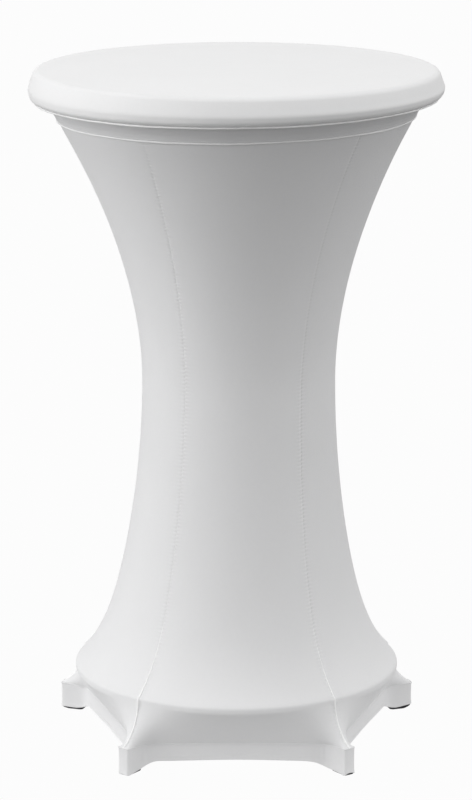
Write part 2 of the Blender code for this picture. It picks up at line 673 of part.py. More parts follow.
def build_panel(panel, outer, inner):
    """One panel: two skins a fabric's thickness apart, closed along their four edges."""
    columns = [(panel * PANEL_COLUMNS + step) % TURN_STEPS for step in range(PANEL_COLUMNS + 1)]
    bm = bmesh.new()
    skins = []
    for source in (outer, inner):
        skin = []
        for ring in source:
            line = [ring[column].copy() for column in columns]
            start_step = (line[1] - line[0]).normalized() * (GAP / 2)
            end_step = (line[-2] - line[-1]).normalized() * (GAP / 2)
            line[0] += start_step
            line[-1] += end_step
            skin.append([bm.verts.new(point) for point in line])
        skins.append(skin)
    front, back = skins
    last_row = len(outer) - 1
    for row in range(last_row):
        for step in range(PANEL_COLUMNS):
            bm.faces.new((front[row][step], front[row + 1][step],
                          front[row + 1][step + 1], front[row][step + 1]))
            bm.faces.new((back[row][step], back[row][step + 1],
                          back[row + 1][step + 1], back[row + 1][step]))
        for step in (0, PANEL_COLUMNS):
            bm.faces.new((front[row][step], back[row][step],
                          back[row + 1][step], front[row + 1][step]))
    for row in (0, last_row):
        for step in range(PANEL_COLUMNS):
            bm.faces.new((front[row][step], front[row][step + 1],
                          back[row][step + 1], back[row][step]))
    new_object(f"skirt_panel_{panel + 1}", mesh_from_bmesh("skirt_panel", bm), WHITE_STRETCH,
               smooth=True)


# --- Cover: hem bands, pockets and soles ------------------------------------------------------
def build_hem_bands():
    """The turned-up hem between two pockets, straight in plan and arched off the floor."""
    for panel in range(FOOT_COUNT):
        start_angle = FRONT_FOOT_ANGLE + panel * FOOT_PITCH
        start = turn_about_axis((POCKET_INNER_REACH, POCKET_HALF_WIDTH, 0.0), start_angle)
        end = turn_about_axis((POCKET_INNER_REACH, -POCKET_HALF_WIDTH, 0.0),
                              start_angle + FOOT_PITCH)
        along = (end - start).normalized()
        start += along * GAP
        end -= along * GAP
        inward = Vector((-along.y, along.x, 0.0)) * HEM_THICKNESS
        bm = bmesh.new()
        rings = []
        for step in range(HEM_STEPS + 1):
            share = step / HEM_STEPS
            point = start.lerp(end, share)
            levels = ((point, hem_top(share)), (point, hem_bottom(share)),
                      (point + inward, hem_bottom(share)), (point + inward, hem_top(share)))
            rings.append([bm.verts.new((place.x, place.y, level)) for place, level in levels])
        for ring, following in zip(rings, rings[1:]):
            for side in range(4):
                bm.faces.new((ring[side], ring[(side + 1) % 4],
                              following[(side + 1) % 4], following[side]))
        bm.faces.new(rings[0])
        bm.faces.new(rings[-1])
        new_object(f"hem_band_{panel + 1}", mesh_from_bmesh("hem_band", bm), WHITE_HEM)


def build_pockets():
    """A pocket is a boot, open at the top and at its inner end, with a grey sole under it."""
    half = POCKET_HALF_WIDTH
    for number in range(1, FOOT_COUNT + 1):
        shell = box_mesh("foot_pocket", (POCKET_INNER_REACH, -half, POCKET_BOTTOM),
                         (FOOT_REACH, half, POCKET_TOP))
        for vertex in shell.vertices:
            if vertex.co.z > POCKET_TOP_INNER and vertex.co.x < FOOT_REACH - POCKET_DEPTH / 2:
                vertex.co.z = POCKET_TOP_INNER
        pocket = new_object(f"foot_pocket_{number}", shell, WHITE_HEM)
        place_at_foot(pocket, number)
        combine(pocket, box_mesh("pocket_hollow",
                                 (POCKET_INNER_REACH - CUT_MARGIN, FABRIC - half,
                                  POCKET_BOTTOM + FABRIC),
                                 (FOOT_REACH - FABRIC, half - FABRIC, POCKET_TOP + CUT_MARGIN)),
                "DIFFERENCE")
        sole = new_object(f"pocket_sole_{number}",
                          box_mesh("pocket_sole", (POCKET_INNER_REACH, -half, 0.0),
                                   (FOOT_REACH, half, SOLE_THICKNESS)),
                          GREY_SOLE)
        place_at_foot(sole, number)


# --- Topper -----------------------------------------------------------------------------------
def build_topper():
    """The cloth down to the widest circle, the margin turned under it, and the elastic."""
    full = rim_outline(0.0, margin_angle())
    widest = max(range(len(full)), key=lambda place: full[place][0])
    cloth = [(0.0, TOTAL_HEIGHT)] + full[:widest + 1]
    turned("topper_cloth", cloth, TOPPER_STRETCH, thickness=FABRIC)
    margin = [(full[widest][0], full[widest][1] - 2 * GAP)] + full[widest + 1:]
    margin.append((TOPPER_HEM_RADIUS, TOPPER_HEM_HEIGHT))
    turned("topper_margin", margin, TOPPER_STRETCH, thickness=FABRIC)
    along, inward = margin_directions()
    start = Vector((TOPPER_HEM_RADIUS, TOPPER_HEM_HEIGHT)) + (along - inward) * GAP
    thick = -inward * TOPPER_ELASTIC_THICKNESS
    wide = along * TOPPER_ELASTIC_WIDTH
    corners = [start + wide, start + wide + thick, start + thick, start]
    turned("topper_elastic", [tuple(corner) for corner in corners], WHITE_ELASTIC, closed=True)


def main():
    build_tabletop()
    build_top_plate()
    build_top_screws()
    build_column()
    build_base_disc()
    build_hub()
    build_arms()
    build_glides()
    build_cover_top()
    build_skirt()
    build_hem_bands()
    build_pockets()
    build_topper()


clear_scene()
PARTS = new_collection(COLLECTION_NAME)
CUTTERS = new_collection(CUTTER_COLLECTION_NAME)
main()
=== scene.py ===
"""Looks of a fitted stretch cover and its topper on a round bar table.

Metres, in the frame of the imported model: +Z up, the floor at z = 0, the front towards -Y.
"""
import math

import bmesh
import bpy
import numpy as np
from bpy.props import FloatProperty, FloatVectorProperty, PointerProperty
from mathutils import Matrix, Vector


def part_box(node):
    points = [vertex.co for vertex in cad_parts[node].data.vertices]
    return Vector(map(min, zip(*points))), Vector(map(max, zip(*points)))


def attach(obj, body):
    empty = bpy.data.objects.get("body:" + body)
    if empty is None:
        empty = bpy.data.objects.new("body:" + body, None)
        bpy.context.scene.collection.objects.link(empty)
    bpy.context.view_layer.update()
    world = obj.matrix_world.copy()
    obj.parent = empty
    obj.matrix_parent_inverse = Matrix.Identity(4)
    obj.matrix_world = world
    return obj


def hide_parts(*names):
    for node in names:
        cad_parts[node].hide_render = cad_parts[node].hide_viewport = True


bl_info = {
    "name": "Covered bar table",
    "version": (1, 0, 0),
    "blender": (4, 5, 0),
    "location": "View3D > Sidebar > Covered table",
    "description": "Builds the stretch cover, the topper and the stage round the packed table",
    "category": "Object",
}

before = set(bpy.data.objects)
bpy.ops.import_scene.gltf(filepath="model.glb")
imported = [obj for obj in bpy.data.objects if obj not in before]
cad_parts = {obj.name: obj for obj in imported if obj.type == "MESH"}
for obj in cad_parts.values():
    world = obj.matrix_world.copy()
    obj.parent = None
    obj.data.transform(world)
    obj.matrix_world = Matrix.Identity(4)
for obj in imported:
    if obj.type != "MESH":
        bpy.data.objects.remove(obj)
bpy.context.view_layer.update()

FEET = 5
PITCH = math.tau / FEET
FRONT_FOOT = math.radians(-54.0)
TABLE_BODY = "covered_table"
TOPPER_BODY = "topper"
CLOTH_UV = "Cloth"


# --- Sizes and colours that a user would change ---------------------------------------------
def length(name, description, default):
    return FloatProperty(name=name, description=description, default=default,
                         subtype="DISTANCE", unit="LENGTH", precision=4)


def angle(name, description, default):
    return FloatProperty(name=name, description=description, default=math.radians(default),
                         subtype="ANGLE", unit="ROTATION")


def plain(name, description, default):
    return FloatProperty(name=name, description=description, default=default)


def colour(name, description, default):
    return FloatVectorProperty(name=name, description=description, default=default, size=3,
                               subtype="COLOR", min=0.0, max=1.0)


class TopSizes(bpy.types.PropertyGroup):
    height: length("Height", "Floor to the topper's upper face",
                   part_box("topper_cloth")[1].z)
    radius: length("Radius", "The topper's widest circle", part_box("topper_cloth")[1].x)
    upper_corner: length("Upper corner", "Radius of the topper's upper edge", 0.012)
    lower_corner: length("Lower corner", "Radius of the topper's lower edge", 0.0102)
    lean: angle("Lean", "How far the rim leans out on its way down", 20.0)
    board: length("Board", "Thickness of the tabletop board", 0.036)
    board_corner: length("Board corner", "Radius of the board's own lower edge", 0.008)
    layer: length("Layer", "One layer of cloth with its gap", 0.0011)
    cloth: length("Cloth", "Thickness of the stretch cloth", 0.0008)
    hem_radius: length("Hem radius", "Where the topper grips the cover", 0.3215)
    hem_height: length("Hem height", "Floor to the topper's hem", 1.1085)
    bead: length("Bead", "Radius of the rolled hem round its elastic", 0.0018)
    gather: length("Gather", "Height of the small gathers that the elastic makes", 0.00022)
    seam_radius: length("Yoke seam radius", "The seam between yoke and skirt", 0.3015)
    seam_height: length("Yoke seam height", "Floor to that seam", 1.0795)
    tilt: length("Hem tilt", "How much higher the hem and the yoke seam sit on the right",
                 0.0040)
    lip: length("Yoke lip", "How far the yoke's lower edge stands out over the skirt", 0.0012)


class SkirtSizes(bpy.types.PropertyGroup):
    waist_radius: length("Waist radius", "Narrowest circle of the skirt", 0.1655)
    waist_height: length("Waist height", "Floor to the waist", 0.630)
    waist_shift: length("Waist shift", "How far the waist is pulled to the right", 0.0038)
    upper_power: plain("Upper flare", "How quickly the skirt widens above the waist", 1.85)
    lower_share: plain("Lower even share", "Share of the lower flare that is even", 0.70)
    lower_power: plain("Lower flare", "Power of the rest of the lower flare", 10.0)
    twist: angle("Twist", "How far the top is pulled round from the feet", 6.0)
    groove: length("Seam groove", "Depth of the groove along a seam", 0.0004)
    groove_width: length("Groove width", "Half width of that groove", 0.0015)
    ridge: length("Seam ridge", "Half width of the ridge that a seam makes lower down", 0.0015)
    crest: length("Seam crest", "How far a seam stands out round the base disc", 0.0021)


class BaseSizes(bpy.types.PropertyGroup):
    disc_radius: length("Disc radius", "Radius of the base disc", 0.2794)
    disc_bottom: length("Disc underside", "Floor to the underside of the disc", 0.108)
    disc_top: length("Disc top", "Floor to the top of the disc", 0.126)
    disc_edge: length("Disc edge", "Radius of the disc's edges", 0.007)
    reach: length("Foot reach", "Axis to a boot's outer face", 0.325)
    boot_depth: length("Boot depth", "A boot's length along its arm", 0.048)
    boot_half: length("Boot half width", "Half of a boot's width", 0.0111)
    boot_corner: length("Boot corner", "Radius of a boot's upright corners", 0.0040)
    boot_top: length("Boot top", "Floor to a boot's outer top edge", 0.047)
    inner_top: length("Inner top", "Floor to the hem seam at a boot's inner end", 0.0438)
    middle_top: length("Middle top", "Floor to the hem seam between boots", 0.0456)
    middle_bottom: length("Middle bottom", "Floor to the hem between boots", 0.0162)
    floor_run: length("Floor run", "How much of a boot's side stands on the floor", 0.030)
    rise_run: length("Rise run", "Length over which the hem then rises", 0.036)
    sole_length: length("Sole length", "Length of the sole under a boot", 0.040)
    sole: length("Sole", "Thickness of that sole", 0.0025)


class Finishes(bpy.types.PropertyGroup):
    skirt: colour("Skirt", "Colour of the cover's cloth", (0.735, 0.735, 0.74))
    topper: colour("Topper", "Colour of the topper's cloth", (0.755, 0.755, 0.757))
    # Lighter than the cloth that the ridges and the rolled hem are made of, as a painted
    # highlight.
    ridge_highlight: colour("Seam cloth with painted highlight", "Colour of the seams' ridges", (0.90, 0.90, 0.90))
    thread: colour("Thread", "Colour of the sewing thread", (0.80, 0.80, 0.80))
    # Near black: the soles are real parts, and their darkness also stands in as painted shade
    # under the boots' edges.
    sole: colour("Sole", "Colour of the soles", (0.045, 0.045, 0.048))
    laminate: colour("Laminate", "Colour of the board and the disc", (0.62, 0.60, 0.56))
    dark_paint: colour("Dark paint", "Colour of the arms and plate", (0.045, 0.045, 0.05))
    grey_paint: colour("Grey paint", "Colour of the column", (0.33, 0.34, 0.35))
    zinc: colour("Zinc", "Colour of the screws and bolts", (0.55, 0.56, 0.57))
    nylon: colour("Nylon", "Colour of the glides and end caps", (0.02, 0.02, 0.021))


class StageSizes(bpy.types.PropertyGroup):
    camera_distance: length("Camera distance", "Axis to the camera, level with the floor", 5.7)
    camera_height: length("Camera height", "Floor to the camera", 1.955)
    camera_pitch: angle("Camera pitch", "How far the camera looks down", 13.5)
    lens: plain("Lens", "Focal length in mm on a 36 mm sensor", 153.5)
    shift: plain("Shift", "Level shift of the picture, in widths", -0.000625)
    floor_side: length("Floor side", "Side of the square floor", 80.0)


def top():
    return bpy.context.scene.covered_top


def skirt():
    return bpy.context.scene.covered_skirt


def base():
    return bpy.context.scene.covered_base


def finishes():
    return bpy.context.scene.covered_finishes


def stage_sizes():
    return bpy.context.scene.covered_stage


# --- Meshes -----------------------------------------------------------------------------------
def grid_object(name, points, cloth, finish, thickness=None, wrap=False, near=None):
    """A smooth surface through rows of points, with its cloth coordinates in metres.

    Rows run down and columns run anticlockwise, so that faces look outwards. near holds
    each point's distance from the nearest seam.
    """
    rows, columns = points.shape[:2]
    turns = columns if wrap else columns - 1
    row, column = np.mgrid[0:rows - 1, 0:turns]
    after = (column + 1) % columns
    faces = np.stack([row * columns + column, (row + 1) * columns + column,
                      (row + 1) * columns + after, row * columns + after], -1).reshape(-1, 4)
    mesh = bpy.data.meshes.new(name)
    mesh.from_pydata(points.reshape(-1, 3).tolist(), [], faces.tolist())
    layer = mesh.uv_layers.new(name=CLOTH_UV)
    ahead = column + 1
    spots = np.stack([cloth[row, column], cloth[row + 1, column],
                      cloth[row + 1, ahead], cloth[row, ahead]], 2)
    layer.uv.foreach_set("vector", spots.astype(np.float32).ravel())
    if near is not None:
        gap = mesh.attributes.new("seam_gap", "FLOAT", "POINT")
        gap.data.foreach_set("value", near.astype(np.float32).ravel())
    bm = bmesh.new()
    bm.from_mesh(mesh)
    bmesh.ops.remove_doubles(bm, verts=bm.verts, dist=1e-7)
    edges = [edge.index for edge in bm.edges if edge.is_boundary]
    bm.to_mesh(mesh)
    bm.free()
    mesh.shade_smooth()
    cut = mesh.attributes.new("sharp_edge", "BOOLEAN", "EDGE")
    sharp = np.zeros(len(mesh.edges), bool)
    sharp[edges] = True
    cut.data.foreach_set("value", sharp)
    return mesh_object(name, mesh, finish, thickness)


def mesh_object(name, mesh, finish, thickness=None):
    mesh.materials.append(finish)
    piece = bpy.data.objects.new(name, mesh)
    bpy.context.scene.collection.objects.link(piece)
    if thickness is not None:
        solid = piece.modifiers.new("cloth", "SOLIDIFY")
        solid.thickness = thickness
        solid.offset = -1.0
        solid.use_even_offset = False
        solid.use_quality_normals = True
    return piece


def settle(piece, body, slot, *nodes):
    """Let a piece ride a body and stand for some nodes. Its slot is not used."""
    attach(piece, body)
    if nodes:
        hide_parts(*nodes)
    return piece


def arc(centre, radius, start, end, step=math.radians(7.0)):
    """Points of an arc in (radius, height) from one angle to another."""
    count = max(2, math.ceil(abs(end - start) / step) + 1)
    angles = np.linspace(start, end, count)
    return np.stack([centre[0] + radius * np.cos(angles),
                     centre[1] + radius * np.sin(angles)], -1)


def profile_length(profile):
    """How far along a line each of its points is."""
    steps = np.linalg.norm(np.diff(profile, axis=0), axis=1)
    return np.concatenate([[0.0], np.cumsum(steps)])


def turned(profile, columns):
    """Points of a profile turned about the axis."""
    angles = np.arange(columns) * math.tau / columns
    return np.stack([ring(radius, height, angles) for radius, height in profile])


def ring(radius, height, angles):
    """Points round the axis at one radius, with one height or a height for each."""
    heights = np.broadcast_to(height, angles.shape)
    return np.stack([radius * np.cos(angles), radius * np.sin(angles), heights], -1)


def looped(values):
    """The same rows with the first repeated at the end."""
    return np.concatenate([values, values[:1]])


def resampled(line, far, places):
    """Points of a line at these places along it."""
    return np.stack([np.interp(places, far, line[:, k]) for k in range(line.shape[1])], -1)


def tilted(angles):
    """How much higher the topper's hem and the yoke's seam are at each angle."""
    return top().tilt * np.cos(angles)


def disc_cloth(profile, columns):
    """Cloth coordinates of a turned cloth that was cut as one flat round."""
    angles = np.arange(columns + 1) * math.tau / columns
    out = profile_length(profile)[:, None] + profile[0, 0]
    return np.stack([out * np.cos(angles), out * np.sin(angles)], -1)


def strip_cloth(profile, columns, radius):
    """Cloth coordinates of a turned cloth that was cut as a straight strip."""
    along = np.arange(columns + 1) * math.tau / columns * radius
    down = -profile_length(profile)
    return np.stack(np.broadcast_arrays(along[None, :], down[:, None]), -1)


def frames_along(line, outward, closed):
    """Unit directions outwards from a line of points and sideways from it."""
    if closed:
        along = np.roll(line, -1, 0) - np.roll(line, 1, 0)
    else:
        along = np.gradient(line, axis=0)
    along /= np.linalg.norm(along, axis=1, keepdims=True)
    outward = outward - (outward * along).sum(1, keepdims=True) * along
    outward /= np.linalg.norm(outward, axis=1, keepdims=True)
    return outward, np.cross(along, outward)


def welt(name, line, outward, half_width, proud, finish, closed=False, sides=10):
    """A raised sewn edge along a line: a closed tube with an oval section."""
    out, across = frames_along(line, outward, closed)
    turn = np.arange(sides) * math.tau / sides
    section = (np.cos(turn)[None, :, None] * out[:, None] * proud
               + np.sin(turn)[None, :, None] * across[:, None] * half_width)
    points = line[:, None] + section
    if closed:
        points = np.concatenate([points, points[:1]])
    far = profile_length(points[:, 0])
    round_it = np.arange(sides + 1) / sides * math.tau * float(np.max(half_width))
    cloth = np.stack(np.broadcast_arrays(round_it[None, :], far[:, None]), -1)
    piece = grid_object(name, points, cloth, finish, wrap=True)
    if not closed:
        close_ends(piece.data)
    return piece


def close_ends(mesh):
    """Fill any open ends of a mesh and turn all its faces outwards."""
    bm = bmesh.new()
    bm.from_mesh(mesh)
    bmesh.ops.holes_fill(bm, edges=[e for e in bm.edges if e.is_boundary], sides=64)
    bmesh.ops.recalc_face_normals(bm, faces=bm.faces)
    bm.to_mesh(mesh)
    bm.free()


def stitches(name, line, outward, size):
    """A row of separate stitches lying on a line. size is (pitch, length, thickness)."""
    pitch, stitch, thickness = size
    far = profile_length(line)
    count = int(far[-1] / pitch)
    at = (np.arange(count) + 0.5) * far[-1] / count
    centre, out = resampled(line, far, at), resampled(outward, far, at)
    along = resampled(line, far, at + pitch / 4) - resampled(line, far, at - pitch / 4)
    along /= np.linalg.norm(along, axis=1, keepdims=True)
    out -= (out * along).sum(1, keepdims=True) * along
    out /= np.linalg.norm(out, axis=1, keepdims=True)
    across = np.cross(along, out)
    rings = ((-0.5, 0.25), (-0.32, 0.9), (0.32, 0.9), (0.5, 0.25))
    sides = 5
    turn = np.arange(sides) * math.tau / sides
    shape = [(x * stitch, math.cos(t) * r * thickness, math.sin(t) * r * thickness)
             for x, r in rings for t in turn]
    shape = np.array(shape)
    points = (centre[:, None] + shape[None, :, :1] * along[:, None]
              + shape[None, :, 1:2] * out[:, None] + shape[None, :, 2:] * across[:, None])
    faces = []
    for ring in range(len(rings) - 1):
        for side in range(sides):
            after = (side + 1) % sides
            faces.append((ring * sides + side, ring * sides + after,
                          (ring + 1) * sides + after, (ring + 1) * sides + side))
    first = tuple(range(sides))
    last = tuple(range(len(shape) - 1, len(shape) - 1 - sides, -1))
    whole = []
    for number in range(count):
        start = number * len(shape)
        whole += [tuple(start + corner for corner in face) for face in faces + [first, last]]
    mesh = bpy.data.meshes.new(name)
    mesh.from_pydata(points.reshape(-1, 3).tolist(), [], whole)
    close_ends(mesh)
    mesh.shade_smooth()
    return mesh_object(name, mesh, thread())


# --- Shapes of this cover ---------------------------------------------------------------------
def rim_profile(inset, lowest):
    """The tabletop's edge, this far inside the topper, from the flat top to the point where
    the lower corner faces the angle lowest."""
    sizes = top()
    centre_height = (sizes.height - 2 * sizes.layer - sizes.board) + sizes.board_corner
    lower = (sizes.radius - sizes.lower_corner, centre_height)
    upper_height = sizes.height - sizes.upper_corner
    rise = upper_height - centre_height
    lean = sizes.upper_corner - sizes.lower_corner
    upper_radius = lower[0] - (rise * math.sin(sizes.lean) + lean) / math.cos(sizes.lean)
    upper = arc((upper_radius, upper_height), sizes.upper_corner - inset, math.pi / 2, sizes.lean)
    under = arc(lower, sizes.lower_corner - inset, sizes.lean, lowest)
    middle = np.linspace(upper[-1], under[0], 5)[1:-1]
    return np.concatenate([upper, middle, under])


def margin_angle():
    """Where the topper leaves the board's lower corner for its hem."""
    sizes = top()
    centre_height = (sizes.height - 2 * sizes.layer - sizes.board) + sizes.board_corner
    across = sizes.hem_radius - (sizes.radius - sizes.lower_corner)
    down = sizes.hem_height - centre_height
    return math.atan2(down, across) + math.acos(sizes.lower_corner / math.hypot(across, down))


def margin_directions():
    """Unit directions from the hem up to the board's edge, and square to that."""
    end = rim_profile(0.0, margin_angle())[-1]
    along = end - np.array([top().hem_radius, top().hem_height])
    along /= np.linalg.norm(along)
    return along, np.array([-along[1], along[0]])


def smooth(share):
    share = np.clip(share, 0.0, 1.0)
    return share * share * (3.0 - 2.0 * share)


def disc_corner(upper):
    sizes = base()
    height = sizes.disc_top - sizes.disc_edge if upper else sizes.disc_bottom + sizes.disc_edge
    return np.array([sizes.disc_radius - sizes.disc_edge, height])


def cloth_reach():
    return base().disc_edge + top().layer


# Where the skirt's curve leaves the base disc's upper corner, and the radius in plan with which
# the lower edge turns from a boot to the arch between the feet.
LEAVE_ABOVE = math.radians(37.0)
INNER_FILLET = 0.026

# Radius and height of the seam from the rim down to a boot, between its two ends.
CREST_KNOTS = ((0.2838, 0.0985), (0.2925, 0.0790), (0.3055, 0.0615), (0.3165, 0.0518))

# The cloth below the rim pulls this much harder sideways than down, and is evened out in this
# many steps.
APRON_SIDE_PULL = 1.3
APRON_STEPS = 5000


def rim_leave_point():
    centre = disc_corner(True)
    return (centre[0] + cloth_reach() * math.cos(LEAVE_ABOVE),
            centre[1] + cloth_reach() * math.sin(LEAVE_ABOVE))


def skirt_radius(height):
    """Outer radius of the skirt above the base disc's rim."""
    cut, edge = skirt(), top()
    rim_radius, rim_height = rim_leave_point()
    up = np.clip((height - cut.waist_height) / (edge.seam_height - cut.waist_height), 0.0, None)
    down = np.clip((cut.waist_height - height) / (cut.waist_height - rim_height), 0.0, None)
    lower = cut.lower_share * down ** 2 + (1.0 - cut.lower_share) * down ** cut.lower_power
    return (cut.waist_radius + (edge.seam_radius - cut.waist_radius) * up ** cut.upper_power
            + (rim_radius - cut.waist_radius) * lower)


def skirt_turn(height):
    """How far the skirt is pulled round at a height."""
    rim_height = rim_leave_point()[1]
    share = (height - rim_height) / (top().seam_height - rim_height)
    return skirt().twist * np.clip(share, 0.0, 1.0)


def skirt_shift(height):
    """How far the skirt is pulled to +X at a height: most at the waist, none at both ends."""
    cut = skirt()
    rim_height = rim_leave_point()[1]
    above = (top().seam_height - height) / (top().seam_height - cut.waist_height)
    below = (height - rim_height) / (cut.waist_height - rim_height)
    return cut.waist_shift * smooth(np.where(height > cut.waist_height, above, below))


def rounded_path(corners, radii, step=0.0005):
    """A line through corners in plan, each rounded with its own radius, as dense points."""
    corners = np.array(corners, float)
    line = [corners[0]]
    for before, corner, after, radius in zip(corners, corners[1:], corners[2:], radii):
        back = (before - corner) / np.linalg.norm(before - corner)
        ahead = (after - corner) / np.linalg.norm(after - corner)
        half = math.acos(float(np.clip(back @ ahead, -1.0, 1.0))) / 2
        cut = radius / math.tan(half)
        start, end = corner + back * cut, corner + ahead * cut
        middle = corner + (back + ahead) / np.linalg.norm(back + ahead) * radius / math.sin(half)
        share = np.linspace(0.0, 1.0, 25)[:, None]
        spoke = (start - middle) * (1 - share) + (end - middle) * share
        spoke *= radius / np.linalg.norm(spoke, axis=1, keepdims=True)
        line += list(middle + spoke)
    line.append(corners[-1])
    line = np.array(line)
    far = profile_length(line)
    even = np.linspace(0.0, far[-1], int(far[-1] / step) + 1)
    return resampled(line, far, even), even


def foot_to_foot():
    """Plan of the lower edge from one boot's outer middle to the next, with the first foot
    along +X, and how far along it each point is."""
    sizes = base()
    inner = sizes.reach - sizes.boot_depth
    half = [(sizes.reach, 0.0), (sizes.reach, sizes.boot_half), (inner, sizes.boot_half)]
    turn = np.array([[math.cos(PITCH), -math.sin(PITCH)], [math.sin(PITCH), math.cos(PITCH)]])
    other = [turn @ np.array([x, -y]) for x, y in reversed(half)]
    return rounded_path(half + other, [sizes.boot_corner, INNER_FILLET, INNER_FILLET,
                                       sizes.boot_corner])


def path_columns(line, far):
    """Places along the lower edge for the columns: closer where it turns and at the seams."""
    heading = np.unwrap(np.arctan2(*np.gradient(line, axis=0).T[::-1]))
    turning = np.abs(np.gradient(heading))
    density = np.gradient(far) / 0.0085 + turning / math.radians(14.0)
    measure = np.concatenate([[0.0], np.cumsum((density[1:] + density[:-1]) / 2)])
    count = int(round(measure[-1] / 2)) * 2
    places = np.interp(np.linspace(0.0, measure[-1], count + 1), measure, far)
    groove = skirt().groove_width
    first = np.array([0.0, 0.45, 1.0, 1.8]) * groove
    inner = places[(places > 2.6 * groove) & (places < far[-1] - 2.6 * groove)]
    return np.concatenate([first, inner, far[-1] - first[::-1]])


def path_outward(line, far, places):
    """Directions in plan that face out from the lower edge."""
    tangent = np.gradient(line, axis=0)
    tangent /= np.linalg.norm(tangent, axis=1, keepdims=True)
    out = np.stack([tangent[:, 1], -tangent[:, 0]], -1)
    out = resampled(out, far, places)
    return out / np.linalg.norm(out, axis=1, keepdims=True)


def hem_top_height(places, total):
    """Height of the hem's seam along the lower edge."""
    sizes = base()
    gap = np.minimum(places, total - places)
    inner = sizes.boot_half + sizes.boot_depth
    side = np.clip((gap - sizes.boot_half) / sizes.boot_depth, 0.0, 1.0)
    near = sizes.boot_top + (sizes.inner_top - sizes.boot_top) * smooth(side)
    out = np.clip((gap - inner) / (total / 2 - inner), 0.0, 1.0)
    return near + (sizes.middle_top - sizes.inner_top) * smooth(out * 1.2)


def hem_bottom_height(places, total):
    """Height of the hem's lower edge: on the floor at a boot, then up to the arch."""
    sizes = base()
    gap = np.minimum(places, total - places)
    start = sizes.boot_half + sizes.floor_run
    rise = smooth((gap - start) / sizes.rise_run * 0.92 + 0.04) - smooth(0.04)
    floor = 0.0007 + 0.0028 * np.clip((gap - 0.014) / 0.030, 0.0, 1.0)
    shoulder = 0.0140
    arch = smooth((gap - start - sizes.rise_run) / (total / 2 - start - sizes.rise_run))
    return floor + (shoulder - floor) * rise + (sizes.middle_bottom - shoulder) * arch


def crest_line(count):
    """The seam's line at a foot in (radius, height): down from the rim, then out to the boot."""
    sizes = base()
    start = (sizes.disc_radius + top().layer, sizes.disc_bottom + sizes.disc_edge)
    knots = np.array([start, *CREST_KNOTS, (sizes.reach - 0.0003, sizes.boot_top)])
    return smooth_curve(knots, count)


def smooth_curve(knots, count):
    """Evenly spaced points on a smooth curve through a few knots."""
    padded = np.concatenate([2 * knots[:1] - knots[1:2], knots, 2 * knots[-1:] - knots[-2:-1]])
    share = np.linspace(0.0, 1.0, 13)[:-1, None]
    line = []
    for before, first, second, after in zip(padded, padded[1:], padded[2:], padded[3:]):
        line.append(0.5 * (2 * first + (second - before) * share
                           + (2 * before - 5 * first + 4 * second - after) * share ** 2
                           + (3 * first - before - 3 * second + after) * share ** 3))
    line = np.concatenate(line + [knots[-1:]])
    far = profile_length(line)
    return resampled(line, far, np.linspace(0.0, far[-1], count))


def stretched_apron(places, total, line, far, rows):
    """The panel below the rim, drawn tight: rows of points from the rim's middle to the hem.

    Its four edges are held, and the cloth between them evens out its pull while it stays
    outside the disc's rim.
    """
    columns = len(places)
    share = places / total
    turn = share * PITCH
    hem = resampled(line, far, places)
    corner, reach = disc_corner(False), cloth_reach()
    crest = crest_line(rows)
    rim = ring(corner[0] + reach, corner[1], turn)
    low = np.column_stack([hem, hem_top_height(places, total)])
    down = np.linspace(0.0, 1.0, rows)[:, None, None]
    points = rim * (1 - down) + low * down
    for column, direction in ((0, 0.0), (columns - 1, PITCH)):
        points[:, column] = np.column_stack([crest[:, 0] * math.cos(direction),
                                             crest[:, 0] * math.sin(direction), crest[:, 1]])
    points[0], points[-1] = rim, low
    step = np.diff(places)[None, :, None]
    before, after = step[:, :-1], step[:, 1:]
    drop = profile_length(crest)[-1] / (rows - 1)
    pull_up = 1.0 / drop ** 2
    pull_before = 2.0 * APRON_SIDE_PULL / (before * (before + after))
    pull_after = 2.0 * APRON_SIDE_PULL / (after * (before + after))
    whole = 2 * pull_up + pull_before + pull_after
    for _ in range(APRON_STEPS):
        points[1:-1, 1:-1] = (pull_up * (points[:-2, 1:-1] + points[2:, 1:-1])
                              + pull_before * points[1:-1, :-2]
                              + pull_after * points[1:-1, 2:]) / whole
        keep_off_rim(points[1:-1, 1:-1], corner, reach)
    return points


def keep_off_rim(points, corner, reach):
    """Push points that are inside the disc's rounded edge out to its surface."""
    radius = np.hypot(points[..., 0], points[..., 1])
    across, down = radius - corner[0], points[..., 2] - corner[1]
    gap = np.maximum(np.hypot(across, down), 1e-9)
    inside = gap < reach
    push = np.where(inside, reach / gap, 1.0)
    new_radius = corner[0] + across * push
    points[..., :2] *= (new_radius / np.maximum(radius, 1e-9))[..., None]
    points[..., 2] = corner[1] + down * push


def rotate(points, turn):
    """Points turned about the table's axis."""
    spun = points.copy()
    spun[..., 0] = points[..., 0] * math.cos(turn) - points[..., 1] * math.sin(turn)
    spun[..., 1] = points[..., 0] * math.sin(turn) + points[..., 1] * math.cos(turn)
    return spun


def skirt_heights():
    """Heights of the skirt's rows down to the rim, closer together near it."""
    rim_height = rim_leave_point()[1]
    share = np.linspace(0.0, 1.0, 78)
    share = share + 0.22 * np.sin(math.pi * share) * share
    return top().seam_height + (rim_height - top().seam_height) * share / share[-1]


